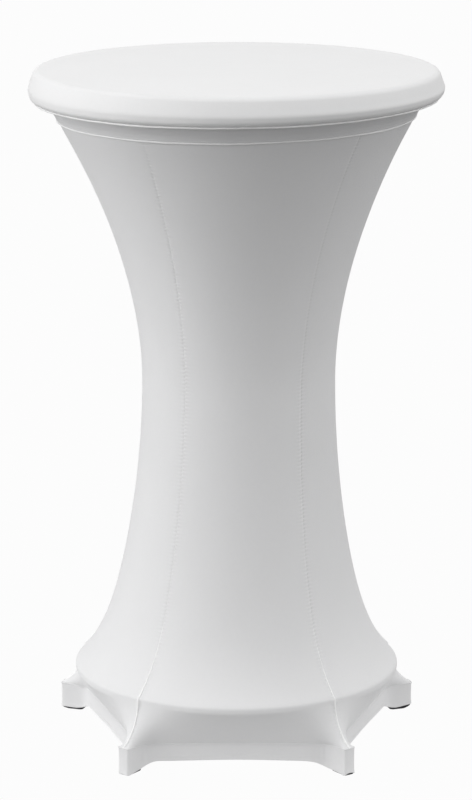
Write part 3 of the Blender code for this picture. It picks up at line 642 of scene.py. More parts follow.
def skirt_panel(turn, places, total, apron):
    """All rows of one panel, from under the yoke's lip to the hem."""
    cut = skirt()
    heights = skirt_heights()
    share = places / total
    centre, reach = disc_corner(True), cloth_reach()
    over = arc(centre, reach, LEAVE_ABOVE, 0.0, math.radians(9.0))[1:]
    rim = np.concatenate([np.stack([skirt_radius(heights), heights], -1), over])
    tuck = 0.0010 * np.exp(-((rim[:, 1] - top().seam_height) / 0.004) ** 2)
    radius = (rim[:, 0] - tuck)[:, None]
    gap = np.minimum(share, 1.0 - share)[None, :] * PITCH * radius
    groove = cut.groove * np.exp(-(gap / cut.groove_width) ** 2)
    crest = cut.crest * np.exp(-(gap / 0.0048) ** 2)
    crest = crest * smooth((0.235 - rim[:, 1]) / 0.12)[:, None]
    around = turn + skirt_turn(rim[:, 1])[:, None] + share[None, :] * PITCH
    out = radius - groove + crest
    slip = smooth((rim[:, 1] - top().seam_height + 0.20) / 0.20)[:, None]
    upper = np.stack([out * np.cos(around) + skirt_shift(rim[:, 1])[:, None],
                      out * np.sin(around), rim[:, 1:2] + slip * tilted(around)], -1)
    spun = rotate(apron, turn)
    fade = np.linspace(1.0, 0.0, len(spun))[:, None] ** 2
    lower_gap = np.minimum(places, total - places)[None, :]
    swell = (cut.crest * fade - cut.groove) * np.exp(-(lower_gap / 0.0048) ** 2)
    flat = np.linalg.norm(spun[..., :2], axis=-1, keepdims=True)
    spun[..., :2] *= 1.0 + (swell * fade ** 0.5)[..., None] / flat
    return np.concatenate([upper, spun])


def panel_cloth(points, gores):
    """Cloth coordinates in metres and each point's distance from the nearest seam."""
    down = np.linalg.norm(np.diff(points, axis=0), axis=-1).mean(1)
    down = -np.concatenate([[0.0], np.cumsum(down)])
    across = np.linalg.norm(np.diff(points, axis=1), axis=-1)
    width = np.cumsum(np.concatenate([np.zeros((len(points), 1)), across], 1), 1)
    near = np.minimum(width, width[:, -1:] - width)
    cloth = np.stack([width - width[:, -1:] / 2 + gores, np.broadcast_to(down[:, None],
                                                                         width.shape)], -1)
    return cloth, near


# --- Nodes ------------------------------------------------------------------------------------
def feed(tree, socket, value):
    """Set a socket's value, or link another node's output to it."""
    if isinstance(value, bpy.types.NodeSocket):
        tree.links.new(value, socket)
    else:
        socket.default_value = value


def add_node(tree, kind, **values):
    """A shader node. A value named in_Socket_Name goes to that input, others set the node."""
    made = tree.nodes.new(kind)
    for name, value in values.items():
        if name.startswith("in_"):
            feed(tree, made.inputs[name[3:].replace("_", " ")], value)
        else:
            setattr(made, name, value)
    return made


def math_node(tree, operation, *terms):
    made = add_node(tree, "ShaderNodeMath", operation=operation)
    for socket, value in zip(made.inputs, terms):
        feed(tree, socket, value)
    return made.outputs[0]


def place_group(tree, group, **values):
    return add_node(tree, "ShaderNodeGroup", node_tree=group,
                    **{f"in_{name}": value for name, value in values.items()}).outputs


def new_group(name, inputs, outputs):
    """A node group with named sockets. An input is (name, type, default)."""
    tree = bpy.data.node_groups.new(name, "ShaderNodeTree")
    for label, kind, default in inputs:
        socket = tree.interface.new_socket(name=label, in_out="INPUT", socket_type=kind)
        if default is not None:
            socket.default_value = default
    for label, kind in outputs:
        tree.interface.new_socket(name=label, in_out="OUTPUT", socket_type=kind)
    return tree, tree.nodes.new("NodeGroupInput").outputs, tree.nodes.new("NodeGroupOutput").inputs


def knit_group():
    """Columns of small V-shaped loops, as the right side of a jersey knit has."""
    found = bpy.data.node_groups.get("Knit loops")
    if found:
        return found
    tree, given, made = new_group(
        "Knit loops",
        [("Cloth", "NodeSocketVector", None), ("Wale", "NodeSocketFloat", 0.0009),
         ("Course", "NodeSocketFloat", 0.0007)],
        [("Height", "NodeSocketFloat"), ("Loop", "NodeSocketFloat")])
    parts = add_node(tree, "ShaderNodeSeparateXYZ", in_Vector=given["Cloth"]).outputs
    across = math_node(tree, "DIVIDE", parts["X"], given["Wale"])
    down = math_node(tree, "DIVIDE", parts["Y"], given["Course"])
    within = math_node(tree, "FRACT", across)
    wale = math_node(tree, "SINE", math_node(tree, "MULTIPLY", within, math.pi))
    slant = math_node(tree, "ABSOLUTE", math_node(tree, "SUBTRACT", within, 0.5))
    phase = math_node(tree, "MULTIPLY", math_node(tree, "ADD", down, slant), math.tau)
    loop = math_node(tree, "MULTIPLY_ADD", math_node(tree, "SINE", phase), 0.5, 0.5)
    height = math_node(tree, "MULTIPLY", wale, math_node(tree, "MULTIPLY_ADD", loop, 0.35, 0.65))
    feed(tree, made["Height"], height)
    feed(tree, made["Loop"], loop)
    return tree


def mottle_group():
    """Slow, cloudy unevenness and a finer one, over the object's own coordinates."""
    found = bpy.data.node_groups.get("Cloudy unevenness")
    if found:
        return found
    tree, given, made = new_group(
        "Cloudy unevenness",
        [("Place", "NodeSocketVector", None), ("Cloud size", "NodeSocketFloat", 9.0),
         ("Fleck size", "NodeSocketFloat", 160.0)],
        [("Cloud", "NodeSocketFloat"), ("Fleck", "NodeSocketFloat")])
    for name, detail in (("Cloud", 3.0), ("Fleck", 2.0)):
        noise = add_node(tree, "ShaderNodeTexNoise", in_Detail=detail, in_Vector=given["Place"],
                         in_Scale=given[f"{name} size"])
        feed(tree, made[name], noise.outputs["Fac"])
    return tree


def pucker_group():
    """Short ripples that a row of stitches leaves in the cloth beside it."""
    found = bpy.data.node_groups.get("Stitch puckers")
    if found:
        return found
    tree, given, made = new_group(
        "Stitch puckers",
        [("Cloth", "NodeSocketVector", None), ("Gap", "NodeSocketFloat", 0.0),
         ("Pitch", "NodeSocketFloat", 0.0065), ("Reach", "NodeSocketFloat", 0.005)],
        [("Height", "NodeSocketFloat")])
    parts = add_node(tree, "ShaderNodeSeparateXYZ", in_Vector=given["Cloth"]).outputs
    along = math_node(tree, "DIVIDE", parts["Y"], given["Pitch"])
    wave = math_node(tree, "SINE", math_node(tree, "MULTIPLY", along, math.tau))
    away = math_node(tree, "DIVIDE", given["Gap"], given["Reach"])
    fade = math_node(tree, "EXPONENT", math_node(tree, "MULTIPLY", away, -1.0))
    feed(tree, made["Height"], math_node(tree, "MULTIPLY", wave, fade))
    return tree


def colour_sockets(sockets):
    return [socket for socket in sockets if socket.type == "RGBA"]


def blend_colours(tree, share, first, second):
    made = add_node(tree, "ShaderNodeMix", data_type="RGBA", in_Factor=share)
    for socket, value in zip(colour_sockets(made.inputs), (first, second)):
        socket.default_value = (*value, 1.0)
    return colour_sockets(made.outputs)[0]


def new_material(name):
    made = bpy.data.materials.new(name)
    made.use_nodes = True
    return made, made.node_tree, made.node_tree.nodes["Principled BSDF"].inputs


def mottled(tree, **values):
    """The cloudy unevenness over the object's own coordinates."""
    place = add_node(tree, "ShaderNodeTexCoord").outputs["Object"]
    return place_group(tree, mottle_group(), Place=place, **values)


def bump(tree, height, distance):
    return add_node(tree, "ShaderNodeBump", in_Distance=distance, in_Strength=1.0,
                    in_Height=height)


def shade(tone, factor):
    return tuple(min(1.0, value * factor) for value in tone)


def cloth_material(name, tone, wale, course, depth, sheen=0.12, puckers=0.0):
    """Matt stretch knit: loops with painted shade in the valleys between them, faint clouds in its
    white, a soft sheen and stitch puckers.
    """
    found = bpy.data.materials.get(name)
    if found:
        return found
    made, tree, shader = new_material(name)
    cloth = add_node(tree, "ShaderNodeUVMap", uv_map=CLOTH_UV).outputs["UV"]
    clouds = mottled(tree)
    loops = place_group(tree, knit_group(), Cloth=cloth, Wale=wale, Course=course)
    mixed = math_node(tree, "MULTIPLY_ADD", clouds["Fleck"], 0.35,
                      math_node(tree, "MULTIPLY", clouds["Cloud"], 0.65))
    # Painted shade: the cloth's colour is darker in the valleys between the knit's loops than on
    # their tops.
    painted_loop_shade = math_node(tree, "MULTIPLY_ADD", loops["Height"], 0.10, 0.93)
    grey = add_node(tree, "ShaderNodeCombineColor")
    for socket in grey.inputs:
        feed(tree, socket, painted_loop_shade)
    loop_shaded_colour = add_node(tree, "ShaderNodeMix", data_type="RGBA", blend_type="MULTIPLY",
                      in_Factor=1.0)
    tinted = blend_colours(tree, mixed, shade(tone, 0.965), shade(tone, 1.03))
    for socket, value in zip(colour_sockets(loop_shaded_colour.inputs), (tinted, grey.outputs[0])):
        feed(tree, socket, value)
    feed(tree, shader["Base Color"], colour_sockets(loop_shaded_colour.outputs)[0])
    feed(tree, shader["Roughness"], math_node(tree, "MULTIPLY_ADD", clouds["Cloud"], 0.12, 0.66))
    normal = bump(tree, loops["Height"], depth).outputs["Normal"]
    if puckers:
        gap = add_node(tree, "ShaderNodeAttribute", attribute_name="seam_gap").outputs["Fac"]
        ripple = bump(tree, place_group(tree, pucker_group(), Cloth=cloth, Gap=gap)["Height"],
                      puckers)
        feed(tree, ripple.inputs["Normal"], normal)
        normal = ripple.outputs["Normal"]
    feed(tree, shader["Normal"], normal)
    shader["Specular IOR Level"].default_value = 0.30
    shader["Sheen Weight"].default_value = sheen
    shader["Sheen Roughness"].default_value = 0.45
    return made


def skirt_knit():
    return cloth_material("Skirt knit", finishes().skirt, 0.0009, 0.00075, 0.00004,
                          puckers=0.00025)


def hem_knit():
    return cloth_material("Hem knit", finishes().skirt, 0.0009, 0.00075, 0.00005)


# The seams' ridges and the topper's rolled hem are made of the covers' own cloth; their lighter
# colour is a painted highlight.
def highlighted_seam_cloth():
    return cloth_material("Seam cloth with painted highlight", finishes().ridge_highlight, 0.0007, 0.0006, 0.00003, sheen=0.2)


def topper_knit():
    return cloth_material("Topper knit", finishes().topper, 0.0010, 0.0008, 0.00004)


def thread():
    found = bpy.data.materials.get("Sewing thread")
    if found:
        return found
    made, tree, shader = new_material("Sewing thread")
    grain = mottled(tree, Cloud_size=60.0, Fleck_size=2500.0)
    tone = finishes().thread
    feed(tree, shader["Base Color"],
         blend_colours(tree, grain["Fleck"], shade(tone, 0.86), shade(tone, 1.04)))
    feed(tree, shader["Roughness"], math_node(tree, "MULTIPLY_ADD", grain["Cloud"], 0.2, 0.35))
    feed(tree, shader["Normal"], bump(tree, grain["Fleck"], 0.00008).outputs["Normal"])
    shader["Sheen Weight"].default_value = 0.2
    return made


def grained_material(name, tone, rough, cloud_size, fleck_size, depth, metal=0.0, contrast=0.12):
    """A hard finish with its own fine grain, dull patches and colour variation."""
    found = bpy.data.materials.get(name)
    if found:
        return found
    made, tree, shader = new_material(name)
    grain = mottled(tree, Cloud_size=cloud_size, Fleck_size=fleck_size)
    mixed = math_node(tree, "MULTIPLY_ADD", grain["Fleck"], 0.5,
                      math_node(tree, "MULTIPLY", grain["Cloud"], 0.5))
    feed(tree, shader["Base Color"],
         blend_colours(tree, mixed, shade(tone, 1.0 - contrast), shade(tone, 1.0 + contrast)))
    feed(tree, shader["Roughness"],
         math_node(tree, "MULTIPLY_ADD", grain["Cloud"], 0.25, rough - 0.12))
    feed(tree, shader["Normal"], bump(tree, grain["Fleck"], depth).outputs["Normal"])
    shader["Metallic"].default_value = metal
    return made


# --- Pieces -----------------------------------------------------------------------------------
# Pitch, length and thickness of the stitches in each kind of seam.
TOPPER_STITCH = (0.0036, 0.0026, 0.00022)
YOKE_STITCH = (0.0034, 0.0025, 0.00018)
SKIRT_STITCH = (0.0036, 0.0027, 0.00016)
HEM_STITCH = (0.0036, 0.0026, 0.00020)

# Columns of points round a turned cloth, and points round a sewn line.
COLUMNS = 240
FINE = 360

# The height where the topper leaves the board's edge. Then how far its margin stands out and up
# from its hem, from the rim downwards, and how far the hem hangs out from the cover and up.
SIDE_ENDS = 1.1385
MARGIN_BELLY = ((0.0116, 0.0190), (0.0113, 0.0125), (0.0094, 0.0065), (0.0052, 0.0022))
HEM_STANDS_OFF = np.array([0.0170, 0.0030])


class COVERED_OT_topper(bpy.types.Operator):
    """Build the topper: one round of cloth drawn over the board, with a rolled elastic hem"""
    bl_idname = "covered_table.topper"
    bl_label = "Topper"

    def execute(self, context):
        sizes = top()
        rim = rim_profile(0.0, math.radians(-12.0))
        rim = rim[rim[:, 1] > SIDE_ENDS]
        hem = np.array([sizes.hem_radius, sizes.hem_height]) + HEM_STANDS_OFF
        _, inward = margin_directions()
        belly = hem + np.array(MARGIN_BELLY)
        margin = smooth_curve(np.concatenate([rim[-2:], belly, [hem]]), 40)
        margin = margin[profile_length(margin) > math.dist(rim[-2], rim[-1]) + 0.0008]
        flat = np.linspace(0.0, rim[0, 0], 22)[:-1]
        profile = np.concatenate([np.stack([flat, np.full(len(flat), sizes.height)], -1),
                                  rim, margin])
        points = turned(profile, COLUMNS)
        angles = np.arange(COLUMNS) * math.tau / COLUMNS
        share = np.zeros(len(profile))
        share[-len(margin):] = np.linspace(0.0, 1.0, len(margin)) ** 2
        ripple = np.sin(angles * 83) + 0.6 * np.sin(angles * 59 + 1.0)
        gather = sizes.gather * share[:, None] * ripple[None, :]
        out = 1.0 - gather * inward[0] / np.maximum(profile[:, :1], 1e-6)
        points[..., :2] *= out[..., None]
        points[..., 2] -= gather * inward[1]
        slip = smooth(np.linspace(0.0, 1.4, len(margin)))[:, None]
        points[-len(margin):, :, 2] += slip * tilted(angles)
        piece = grid_object("topper_stretch_cloth", points, disc_cloth(profile, COLUMNS),
                            topper_knit(), thickness=sizes.cloth, wrap=True)
        settle(piece, TOPPER_BODY, "topper_stretch", "topper_cloth", "topper_margin")
        turn = np.arange(FINE) * math.tau / FINE
        centre = hem + np.array([0.0014, -0.0004])
        wave = 0.00025 * (np.sin(turn * 7 + 0.4) + 0.7 * np.sin(turn * 17 + 2.0))
        line = ring(centre[0], centre[1] + wave + tilted(turn), turn)
        outward = ring(1.0, -0.4, turn)
        bead = welt("topper_rolled_hem", line, outward, sizes.bead, sizes.bead, highlighted_seam_cloth(),
                    closed=True, sides=12)
        settle(bead, TOPPER_BODY, "topper_stretch", "topper_elastic")
        row = margin[-9]
        row_line = looped(ring(row[0], row[1] + tilted(turn), turn))
        row_out = looped(ring(-inward[0], -inward[1], turn))
        sewn = stitches("topper_hem_stitches", row_line, row_out, TOPPER_STITCH)
        settle(sewn, TOPPER_BODY, "topper_stretch")
        return {"FINISHED"}


class COVERED_OT_yoke(bpy.types.Operator):
    """Build the cover's round top panel and the yoke that goes from it over the board's edge"""
    bl_idname = "covered_table.yoke"
    bl_label = "Top panel and yoke"

    def execute(self, context):
        sizes = top()
        rim = rim_profile(sizes.layer, margin_angle())
        level = rim[0, 1]
        radii = np.concatenate([np.linspace(0.0, rim[0, 0] - 0.004, 20),
                                [rim[0, 0] - 0.002, rim[0, 0] - 0.0004]])
        heights = np.full(len(radii), level)
        heights[-1] -= 0.0003
        flat = np.stack([radii, heights], -1)
        panel = grid_object("under_cover_top", turned(flat, COLUMNS), disc_cloth(flat, COLUMNS),
                            hem_knit(), thickness=sizes.cloth, wrap=True)
        settle(panel, TABLE_BODY, "white_stretch", "cover_top_panel")
        along, inward = margin_directions()
        grip = np.array([sizes.hem_radius, sizes.hem_height])
        grip += inward * sizes.layer - along * 0.0003
        neck = grip + np.array([-0.0030, -0.0060])
        seam = np.array([sizes.seam_radius, sizes.seam_height])
        middle = (neck + seam) / 2 + np.array([-0.0008, 0.0])
        rise = (neck - seam) / np.linalg.norm(neck - seam)
        away = np.array([rise[1], -rise[0]])
        lip = [seam + rise * up + away * out for up, out in
               ((0.0090, -0.0002), (0.0060, -0.0001), (0.0040, 0.0003), (0.0024, 0.0008),
                (0.0010, 0.0010), (0.0, 0.0008), (-0.0006, 0.0))]
        free = evenly_spaced([rim[-1], grip, neck, middle, lip[0]], 26)
        profile = np.concatenate([rim, free[1:], np.array(lip[1:])])
        points = turned(profile, COLUMNS)
        turn = np.arange(COLUMNS) * math.tau / COLUMNS
        low = np.clip((grip[1] - profile[:, 1]) / (grip[1] - seam[1]), 0.0, 1.0)
        swell = np.sin(math.pi * low)[:, None]
        crease = (0.00035 * np.sin(turn * 11 + 0.7) + 0.00025 * np.sin(turn * 23 + 1.9)
                  + 0.00018 * np.sin(turn * 41 + 0.2))[None, :]
        out = 1.0 + crease * swell / profile[:, :1]
        points[..., :2] *= out[..., None]
        slip = smooth((rim[-1, 1] - profile[:, 1]) / (rim[-1, 1] - grip[1]))
        points[..., 2] += slip[:, None] * tilted(turn)[None, :]
        from_seam = profile_length(profile)[-1] - profile_length(profile)
        piece = grid_object("under_cover_yoke", points,
                            strip_cloth(profile, COLUMNS, sizes.seam_radius), skirt_knit(),
                            thickness=sizes.cloth, wrap=True,
                            near=np.broadcast_to(from_seam[:, None], points.shape[:2]))
        settle(piece, TABLE_BODY, "white_stretch", "cover_yoke")
        turn = np.arange(FINE) * math.tau / FINE
        wave = 0.0003 * (np.sin(turn * 5 + 1.1) + 0.8 * np.sin(turn * 13 + 0.3))
        ridge = ring(seam[0] + away[0] * 0.0008, seam[1] + rise[1] * 0.0008 + wave + tilted(turn),
                     turn)
        welted = welt("yoke_seam_ridge", ridge, ring(1.0, 0.0, turn), sizes.lip * 1.5,
                      sizes.lip * 1.4, highlighted_seam_cloth(), closed=True, sides=12)
        settle(welted, TABLE_BODY, "white_stretch")
        row = seam + rise * 0.0052 + away * 0.0003
        crown = ring(rim[0, 0] - 0.0040, level + 0.0001, turn)
        for name, line, outward in (
                ("crown_seam_stitches", crown, ring(0.0, 1.0, turn)),
                ("yoke_seam_stitches", ring(row[0], row[1] + tilted(turn), turn),
                 ring(1.0, 0.1, turn))):
            sewn = stitches(name, looped(line), looped(outward), YOKE_STITCH)
            settle(sewn, TABLE_BODY, "white_stretch")
        return {"FINISHED"}


def evenly_spaced(knots, count):
    """Evenly spaced points along the straight runs between a few knots."""
    knots = np.array(knots)
    at = profile_length(knots)
    return resampled(knots, at, np.linspace(0.0, at[-1], count))


# The skirt's stitches end at this height. Its seams' ridges start at the next and reach their
# full size over the last length.
STITCHES_SHOW_ABOVE = 0.20
RIDGE_STARTS = 0.25
RIDGE_GROWS = 0.13


class COVERED_OT_skirt(bpy.types.Operator):
    """Build the five panels of the skirt with their seams, drawn tight down to the feet"""
    bl_idname = "covered_table.skirt"
    bl_label = "Skirt panels"

    def execute(self, context):
        cut = skirt()
        line, far = foot_to_foot()
        places, total = path_columns(line, far), far[-1]
        apron = stretched_apron(places, total, line, far, 30)
        for number in range(1, FEET + 1):
            turn = FRONT_FOOT + (number - 1) * PITCH
            points = skirt_panel(turn, places, total, apron)
            cloth, near = panel_cloth(points, number * 1.0)
            piece = grid_object(f"skirt_gore_{number}", points, cloth, skirt_knit(),
                                thickness=top().cloth, near=near)
            settle(piece, TABLE_BODY, "white_stretch", f"skirt_panel_{number}")
            edge = points[:, 0]
            outward = edge * np.array([1.0, 1.0, 0.0])
            low = edge[:, 2] < base().disc_bottom
            outward[low, 2] = 0.25
            rows = edge[:, 2] > STITCHES_SHOW_ABOVE
            rows[:2] = False
            sewn = stitches(f"skirt_seam_{number}", edge[rows], outward[rows], SKIRT_STITCH)
            settle(sewn, TABLE_BODY, "white_stretch")
            rows = edge[:, 2] < RIDGE_STARTS
            swell = smooth((RIDGE_STARTS - edge[rows, 2]) / RIDGE_GROWS)[:, None, None]
            welted = welt(f"skirt_seam_ridge_{number}", edge[rows], outward[rows],
                          cut.ridge * (0.10 + 0.90 * swell), cut.ridge * swell, highlighted_seam_cloth())
            settle(welted, TABLE_BODY, "white_stretch")
        return {"FINISHED"}


def hem_line(line, far, places, proud, height, turn):
    """A line on the hem at these places and heights, and the directions outwards from it."""
    out = path_outward(line, far, places)
    row = np.column_stack([resampled(line, far, places) + out * proud, height])
    return rotate(row, turn), rotate(np.column_stack([out, np.zeros(len(out))]), turn)


class COVERED_OT_hems(bpy.types.Operator):
    """Build the turned-up hem strips between the boots"""
    bl_idname = "covered_table.hems"
    bl_label = "Hem strips"

    def execute(self, context):
        line, far = foot_to_foot()
        total = far[-1]
        start = base().boot_half + base().boot_depth
        places = np.linspace(start, total - start, 60)
        around = path_columns(line, far)
        level, bottom = hem_top_height(places, total), hem_bottom_height(places, total)
        for number in range(1, FEET + 1):
            turn = FRONT_FOOT + (number - 1) * PITCH
            sag = (lambda at: front_sag(total - at)) if number == FEET else None
            points, cloth = hem_strip(line, far, places, total, turn, sag)
            piece = grid_object(f"hem_strip_{number}", points, cloth, hem_knit(),
                                thickness=0.0015)
            settle(piece, TABLE_BODY, "white_hem", f"hem_band_{number}")
            wave = 0.0002 * np.sin(around * 180.0 + number)
            ridge, away = hem_line(line, far, around, 0.0001,
                                   hem_top_height(around, total) + wave, turn)
            welted = welt(f"hem_seam_ridge_{number}", ridge, away, 0.0010, 0.0007, hem_knit())
            settle(welted, TABLE_BODY, "white_hem")
            for name, height in (("seam", level - 0.0030),
                                 ("edge", level + (bottom - level) * 0.80)):
                row, away = hem_line(line, far, places, 0.0002, height, turn)
                sewn = stitches(f"hem_{name}_stitches_{number}", row, away, HEM_STITCH)
                settle(sewn, TABLE_BODY, "white_hem")
        return {"FINISHED"}


def front_sag(gap):
    """The hem hangs a little lower just inside the right front foot."""
    deepest, place, reach = 0.0042, 0.062, 0.020
    return -deepest * np.exp(-((gap - place) / reach) ** 2)


def hem_strip(line, far, places, total, turn, lift=None):
    """Rows of points down a stretch of the hem, with a soft edge at its top and bottom."""
    reflected = places < 0.0
    at = np.abs(places)
    plan = resampled(line, far, at)
    out = path_outward(line, far, at)
    plan[reflected, 1] *= -1.0
    out[reflected, 1] *= -1.0
    level = hem_top_height(at, total)
    bottom = hem_bottom_height(at, total)
    if lift is not None:
        bottom = bottom + lift(places)
    rows = [(0.0, 0.0006, -0.0006), (0.0, 0.0, 0.0), (0.0, -0.0008, 0.0001)]
    rows += [(share, 0.0, -0.0003 * math.sin(math.pi * share))
             for share in (0.12, 0.25, 0.4, 0.55, 0.7, 0.82)]
    rows += [(1.0, 0.0016, 0.0006), (1.0, 0.0006, 0.0006), (1.0, 0.0, 0.0)]
    points = np.zeros((len(rows), len(places), 3))
    for row, (share, up, proud) in enumerate(rows):
        points[row, :, :2] = plan + out * proud
        points[row, :, 2] = level + (bottom - level) * share + up
    across = np.broadcast_to(places[None, :], points.shape[:2])
    cloth = np.stack([across, points[..., 2]], -1)
    return rotate(points, turn), cloth


# How far each boot's lower edge rises at its very tip, and more gently along its toe.
TIP_LIFTS = (0.0032, 0.0, 0.0010, 0.0, 0.0006)
TOE_LIFTS = (0.0, 0.0085, 0.0010, 0.0040, 0.0)


class COVERED_OT_boots(bpy.types.Operator):
    """Build the boots that hold the ends of the arms, with their soles"""
    bl_idname = "covered_table.boots"
    bl_label = "Boots and soles"

    def execute(self, context):
        sizes = base()
        line, far = foot_to_foot()
        total = far[-1]
        inner = sizes.boot_half + sizes.boot_depth
        one_side = path_columns(line, far)
        one_side = one_side[(one_side > 0.0) & (one_side < inner - 0.001)]
        places = np.concatenate([[-inner], -one_side[::-1], [0.0], one_side, [inner]])
        for number in range(1, FEET + 1):
            turn = FRONT_FOOT + (number - 1) * PITCH

            def lift(at, tip=TIP_LIFTS[number - 1], toe=TOE_LIFTS[number - 1], foot=number):
                gap = np.abs(at)
                raised = tip * np.exp(-(gap / (sizes.boot_half * 0.8)) ** 4)
                raised = raised + toe * (1.0 - smooth(gap / sizes.boot_depth))
                if foot == 1:
                    raised = raised + np.where(at < 0.0, front_sag(gap), 0.0)
                return raised

            points, cloth = hem_strip(line, far, places, total, turn, lift)
            cloth[..., 0] += 3.0 * number
            piece = grid_object(f"boot_{number}", points, cloth, hem_knit(), thickness=0.0012)
            settle(piece, TABLE_BODY, "white_hem", f"foot_pocket_{number}")
            sole = boot_sole(f"boot_sole_{number}", turn, TOE_LIFTS[number - 1])
            settle(sole, TABLE_BODY, "grey_sole", f"pocket_sole_{number}")
        return {"FINISHED"}


def boot_sole(name, turn, toe):
    """A flat rounded pad under a boot, turned up a little round its outer end. Its near-black
    colour also stands in as painted shade where it shows under the boot's edge.
    """
    sizes = base()
    inset = 0.0011
    outer, inner = sizes.reach - inset, sizes.reach - sizes.sole_length
    half = sizes.boot_half - inset
    corners = [(inner, 0.0), (inner, -half), (outer, -half), (outer, half), (inner, half),
               (inner, 0.0)]
    plan, _ = rounded_path(corners, [0.006, 0.004, 0.004, 0.006], step=0.0025)
    plan = plan[:-1]
    middle = plan.mean(0)
    rows = ((0.0, 0.0), (0.90, 0.0), (0.975, 0.0003), (1.0, 0.0009), (1.0, sizes.sole - 0.0006),
            (0.985, sizes.sole), (0.0, sizes.sole))
    points = np.zeros((len(rows), len(plan), 3))
    for row, (share, height) in enumerate(rows):
        points[row, :, :2] = middle + (plan - middle) * share
        along = (points[row, :, 0] - inner) / (outer - inner)
        points[row, :, 2] = height + toe * 0.7 * np.clip((along - 0.62) / 0.38, 0.0, 1.0) ** 1.5
    points = rotate(points, turn)[::-1]
    cloth = np.zeros((len(rows), len(plan) + 1, 2))
    cloth[..., 0] = np.arange(len(plan) + 1) * 0.0025
    cloth[..., 1] = np.arange(len(rows))[:, None] * 0.001
    finish = grained_material("Dark sole with painted shade", finishes().sole, 0.85, 90.0, 1400.0, 0.0002,
                              contrast=0.25)
    piece = grid_object(name, points, cloth, finish, wrap=True)
    close_ends(piece.data)
    return piece


class COVERED_OT_table(bpy.types.Operator):
    """Give every part of the table under the cover its finish"""
    bl_idname = "covered_table.table"
    bl_label = "Table finishes"

    def execute(self, context):
        tones = finishes()
        laminate = grained_material("Laminated board", tones.laminate, 0.45, 14.0, 420.0,
                                    0.00005, contrast=0.08)
        dark = grained_material("Dark satin paint", tones.dark_paint, 0.50, 25.0, 900.0,
                                0.00008, contrast=0.20)
        grey = grained_material("Grey satin paint", tones.grey_paint, 0.42, 25.0, 900.0,
                                0.00008)
        zinc = grained_material("Zinc plate", tones.zinc, 0.38, 60.0, 700.0, 0.00003, metal=1.0)
        nylon = grained_material("Black nylon", tones.nylon, 0.55, 60.0, 1800.0, 0.00006,
                                 contrast=0.25)
        by_start = ((("tabletop_board", "base_disc"), laminate), (("column",), grey),
                    (("top_plate", "base_hub", "base_arm"), dark),
                    (("top_screw", "flange_bolt"), zinc),
                    (("arm_end_cap", "levelling_glide"), nylon))
        for name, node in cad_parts.items():
            for starts, finish in by_start:
                if name.startswith(starts):
                    node.data.materials.clear()
                    node.data.materials.append(finish)
        return {"FINISHED"}


# --- Stage ------------------------------------------------------------------------------------
# Name, direction round the table (0 is the front, positive to the right), height angle and
# power of each square bank of light.
LIGHTS = (
    ("Left bank", -80.0, 10.0, 54.8),
    ("High left bank", -40.0, 45.0, 32.5),
    ("Back bank", 180.0, 20.0, 18.3),
    ("High right bank", 80.0, 45.0, 17.1),
    ("Right bank", 60.0, 15.0, 5.6),
)
LIGHT_DISTANCE = 3.4
LIGHT_SIDE = 2.2
LIGHT_AIM = Vector((0.0, 0.0, 0.62))


class COVERED_OT_stage(bpy.types.Operator):
    """Make the floor, the soft lights and the camera"""
    bl_idname = "covered_table.stage"
    bl_label = "Stage"

    def execute(self, context):
        sizes = stage_sizes()
        make_floor(sizes.floor_side)
        for name, around, up, power in LIGHTS:
            lamp = bpy.data.lights.new(name, "AREA")
            lamp.shape = "RECTANGLE"
            lamp.size, lamp.size_y = LIGHT_SIDE, LIGHT_SIDE
            lamp.energy = power
            turn, rise = math.radians(around), math.radians(up)
            away = Vector((math.sin(turn) * math.cos(rise), -math.cos(turn) * math.cos(rise),
                           math.sin(rise)))
            holder = bpy.data.objects.new(name, lamp)
            holder.location = LIGHT_AIM + away * LIGHT_DISTANCE
            holder.rotation_euler = away.to_track_quat("Z", "Y").to_euler()
            context.scene.collection.objects.link(holder)
        world = bpy.data.worlds.new("Pale room")
        world.use_nodes = True
        world.node_tree.nodes["Background"].inputs["Color"].default_value = (1.0, 1.0, 1.0, 1.0)
        light_room(world.node_tree)
        context.scene.world = world
        lens = bpy.data.cameras.new("Camera")
        lens.lens = sizes.lens
        lens.sensor_width = 36.0
        lens.shift_x = sizes.shift
        holder = bpy.data.objects.new("Camera", lens)
        holder.location = (0.0, -sizes.camera_distance, sizes.camera_height)
        holder.rotation_euler = (math.pi / 2 - sizes.camera_pitch, 0.0, 0.0)
        context.scene.collection.objects.link(holder)
        context.scene.camera = holder
        context.scene.view_settings.view_transform = "Standard"
        return {"FINISHED"}


# Even light from all round, with more from the right, and the white of the background.
ROOM_EVEN = 0.596
ROOM_RIGHT = 0.513
SEEN_WHITE = 0.975


def light_room(tree):
    """A pale room that is brighter to the right, and plain white where it shows."""
    direction = add_node(tree, "ShaderNodeTexCoord").outputs["Generated"]
    parts = add_node(tree, "ShaderNodeSeparateXYZ", in_Vector=direction).outputs
    right = math_node(tree, "MAXIMUM", parts["X"], 0.0)
    total = math_node(tree, "MULTIPLY_ADD", right, ROOM_RIGHT, ROOM_EVEN)
    seen = add_node(tree, "ShaderNodeLightPath").outputs["Is Camera Ray"]
    rest = math_node(tree, "MULTIPLY", total, math_node(tree, "SUBTRACT", 1.0, seen))
    feed(tree, tree.nodes["Background"].inputs["Strength"],
         math_node(tree, "MULTIPLY_ADD", seen, SEEN_WHITE, rest))


# The floor glows with this much painted light round the feet, though it is no lamp, fading between
# these radii, and throws back this share of the light that falls on it.
PAINTED_GLOW = 0.50
PAINTED_GLOW_FULL = 0.30
PAINTED_GLOW_END = 0.95
FLOOR_TONES = ((0.14, 0.14, 0.14), (0.16, 0.16, 0.16))


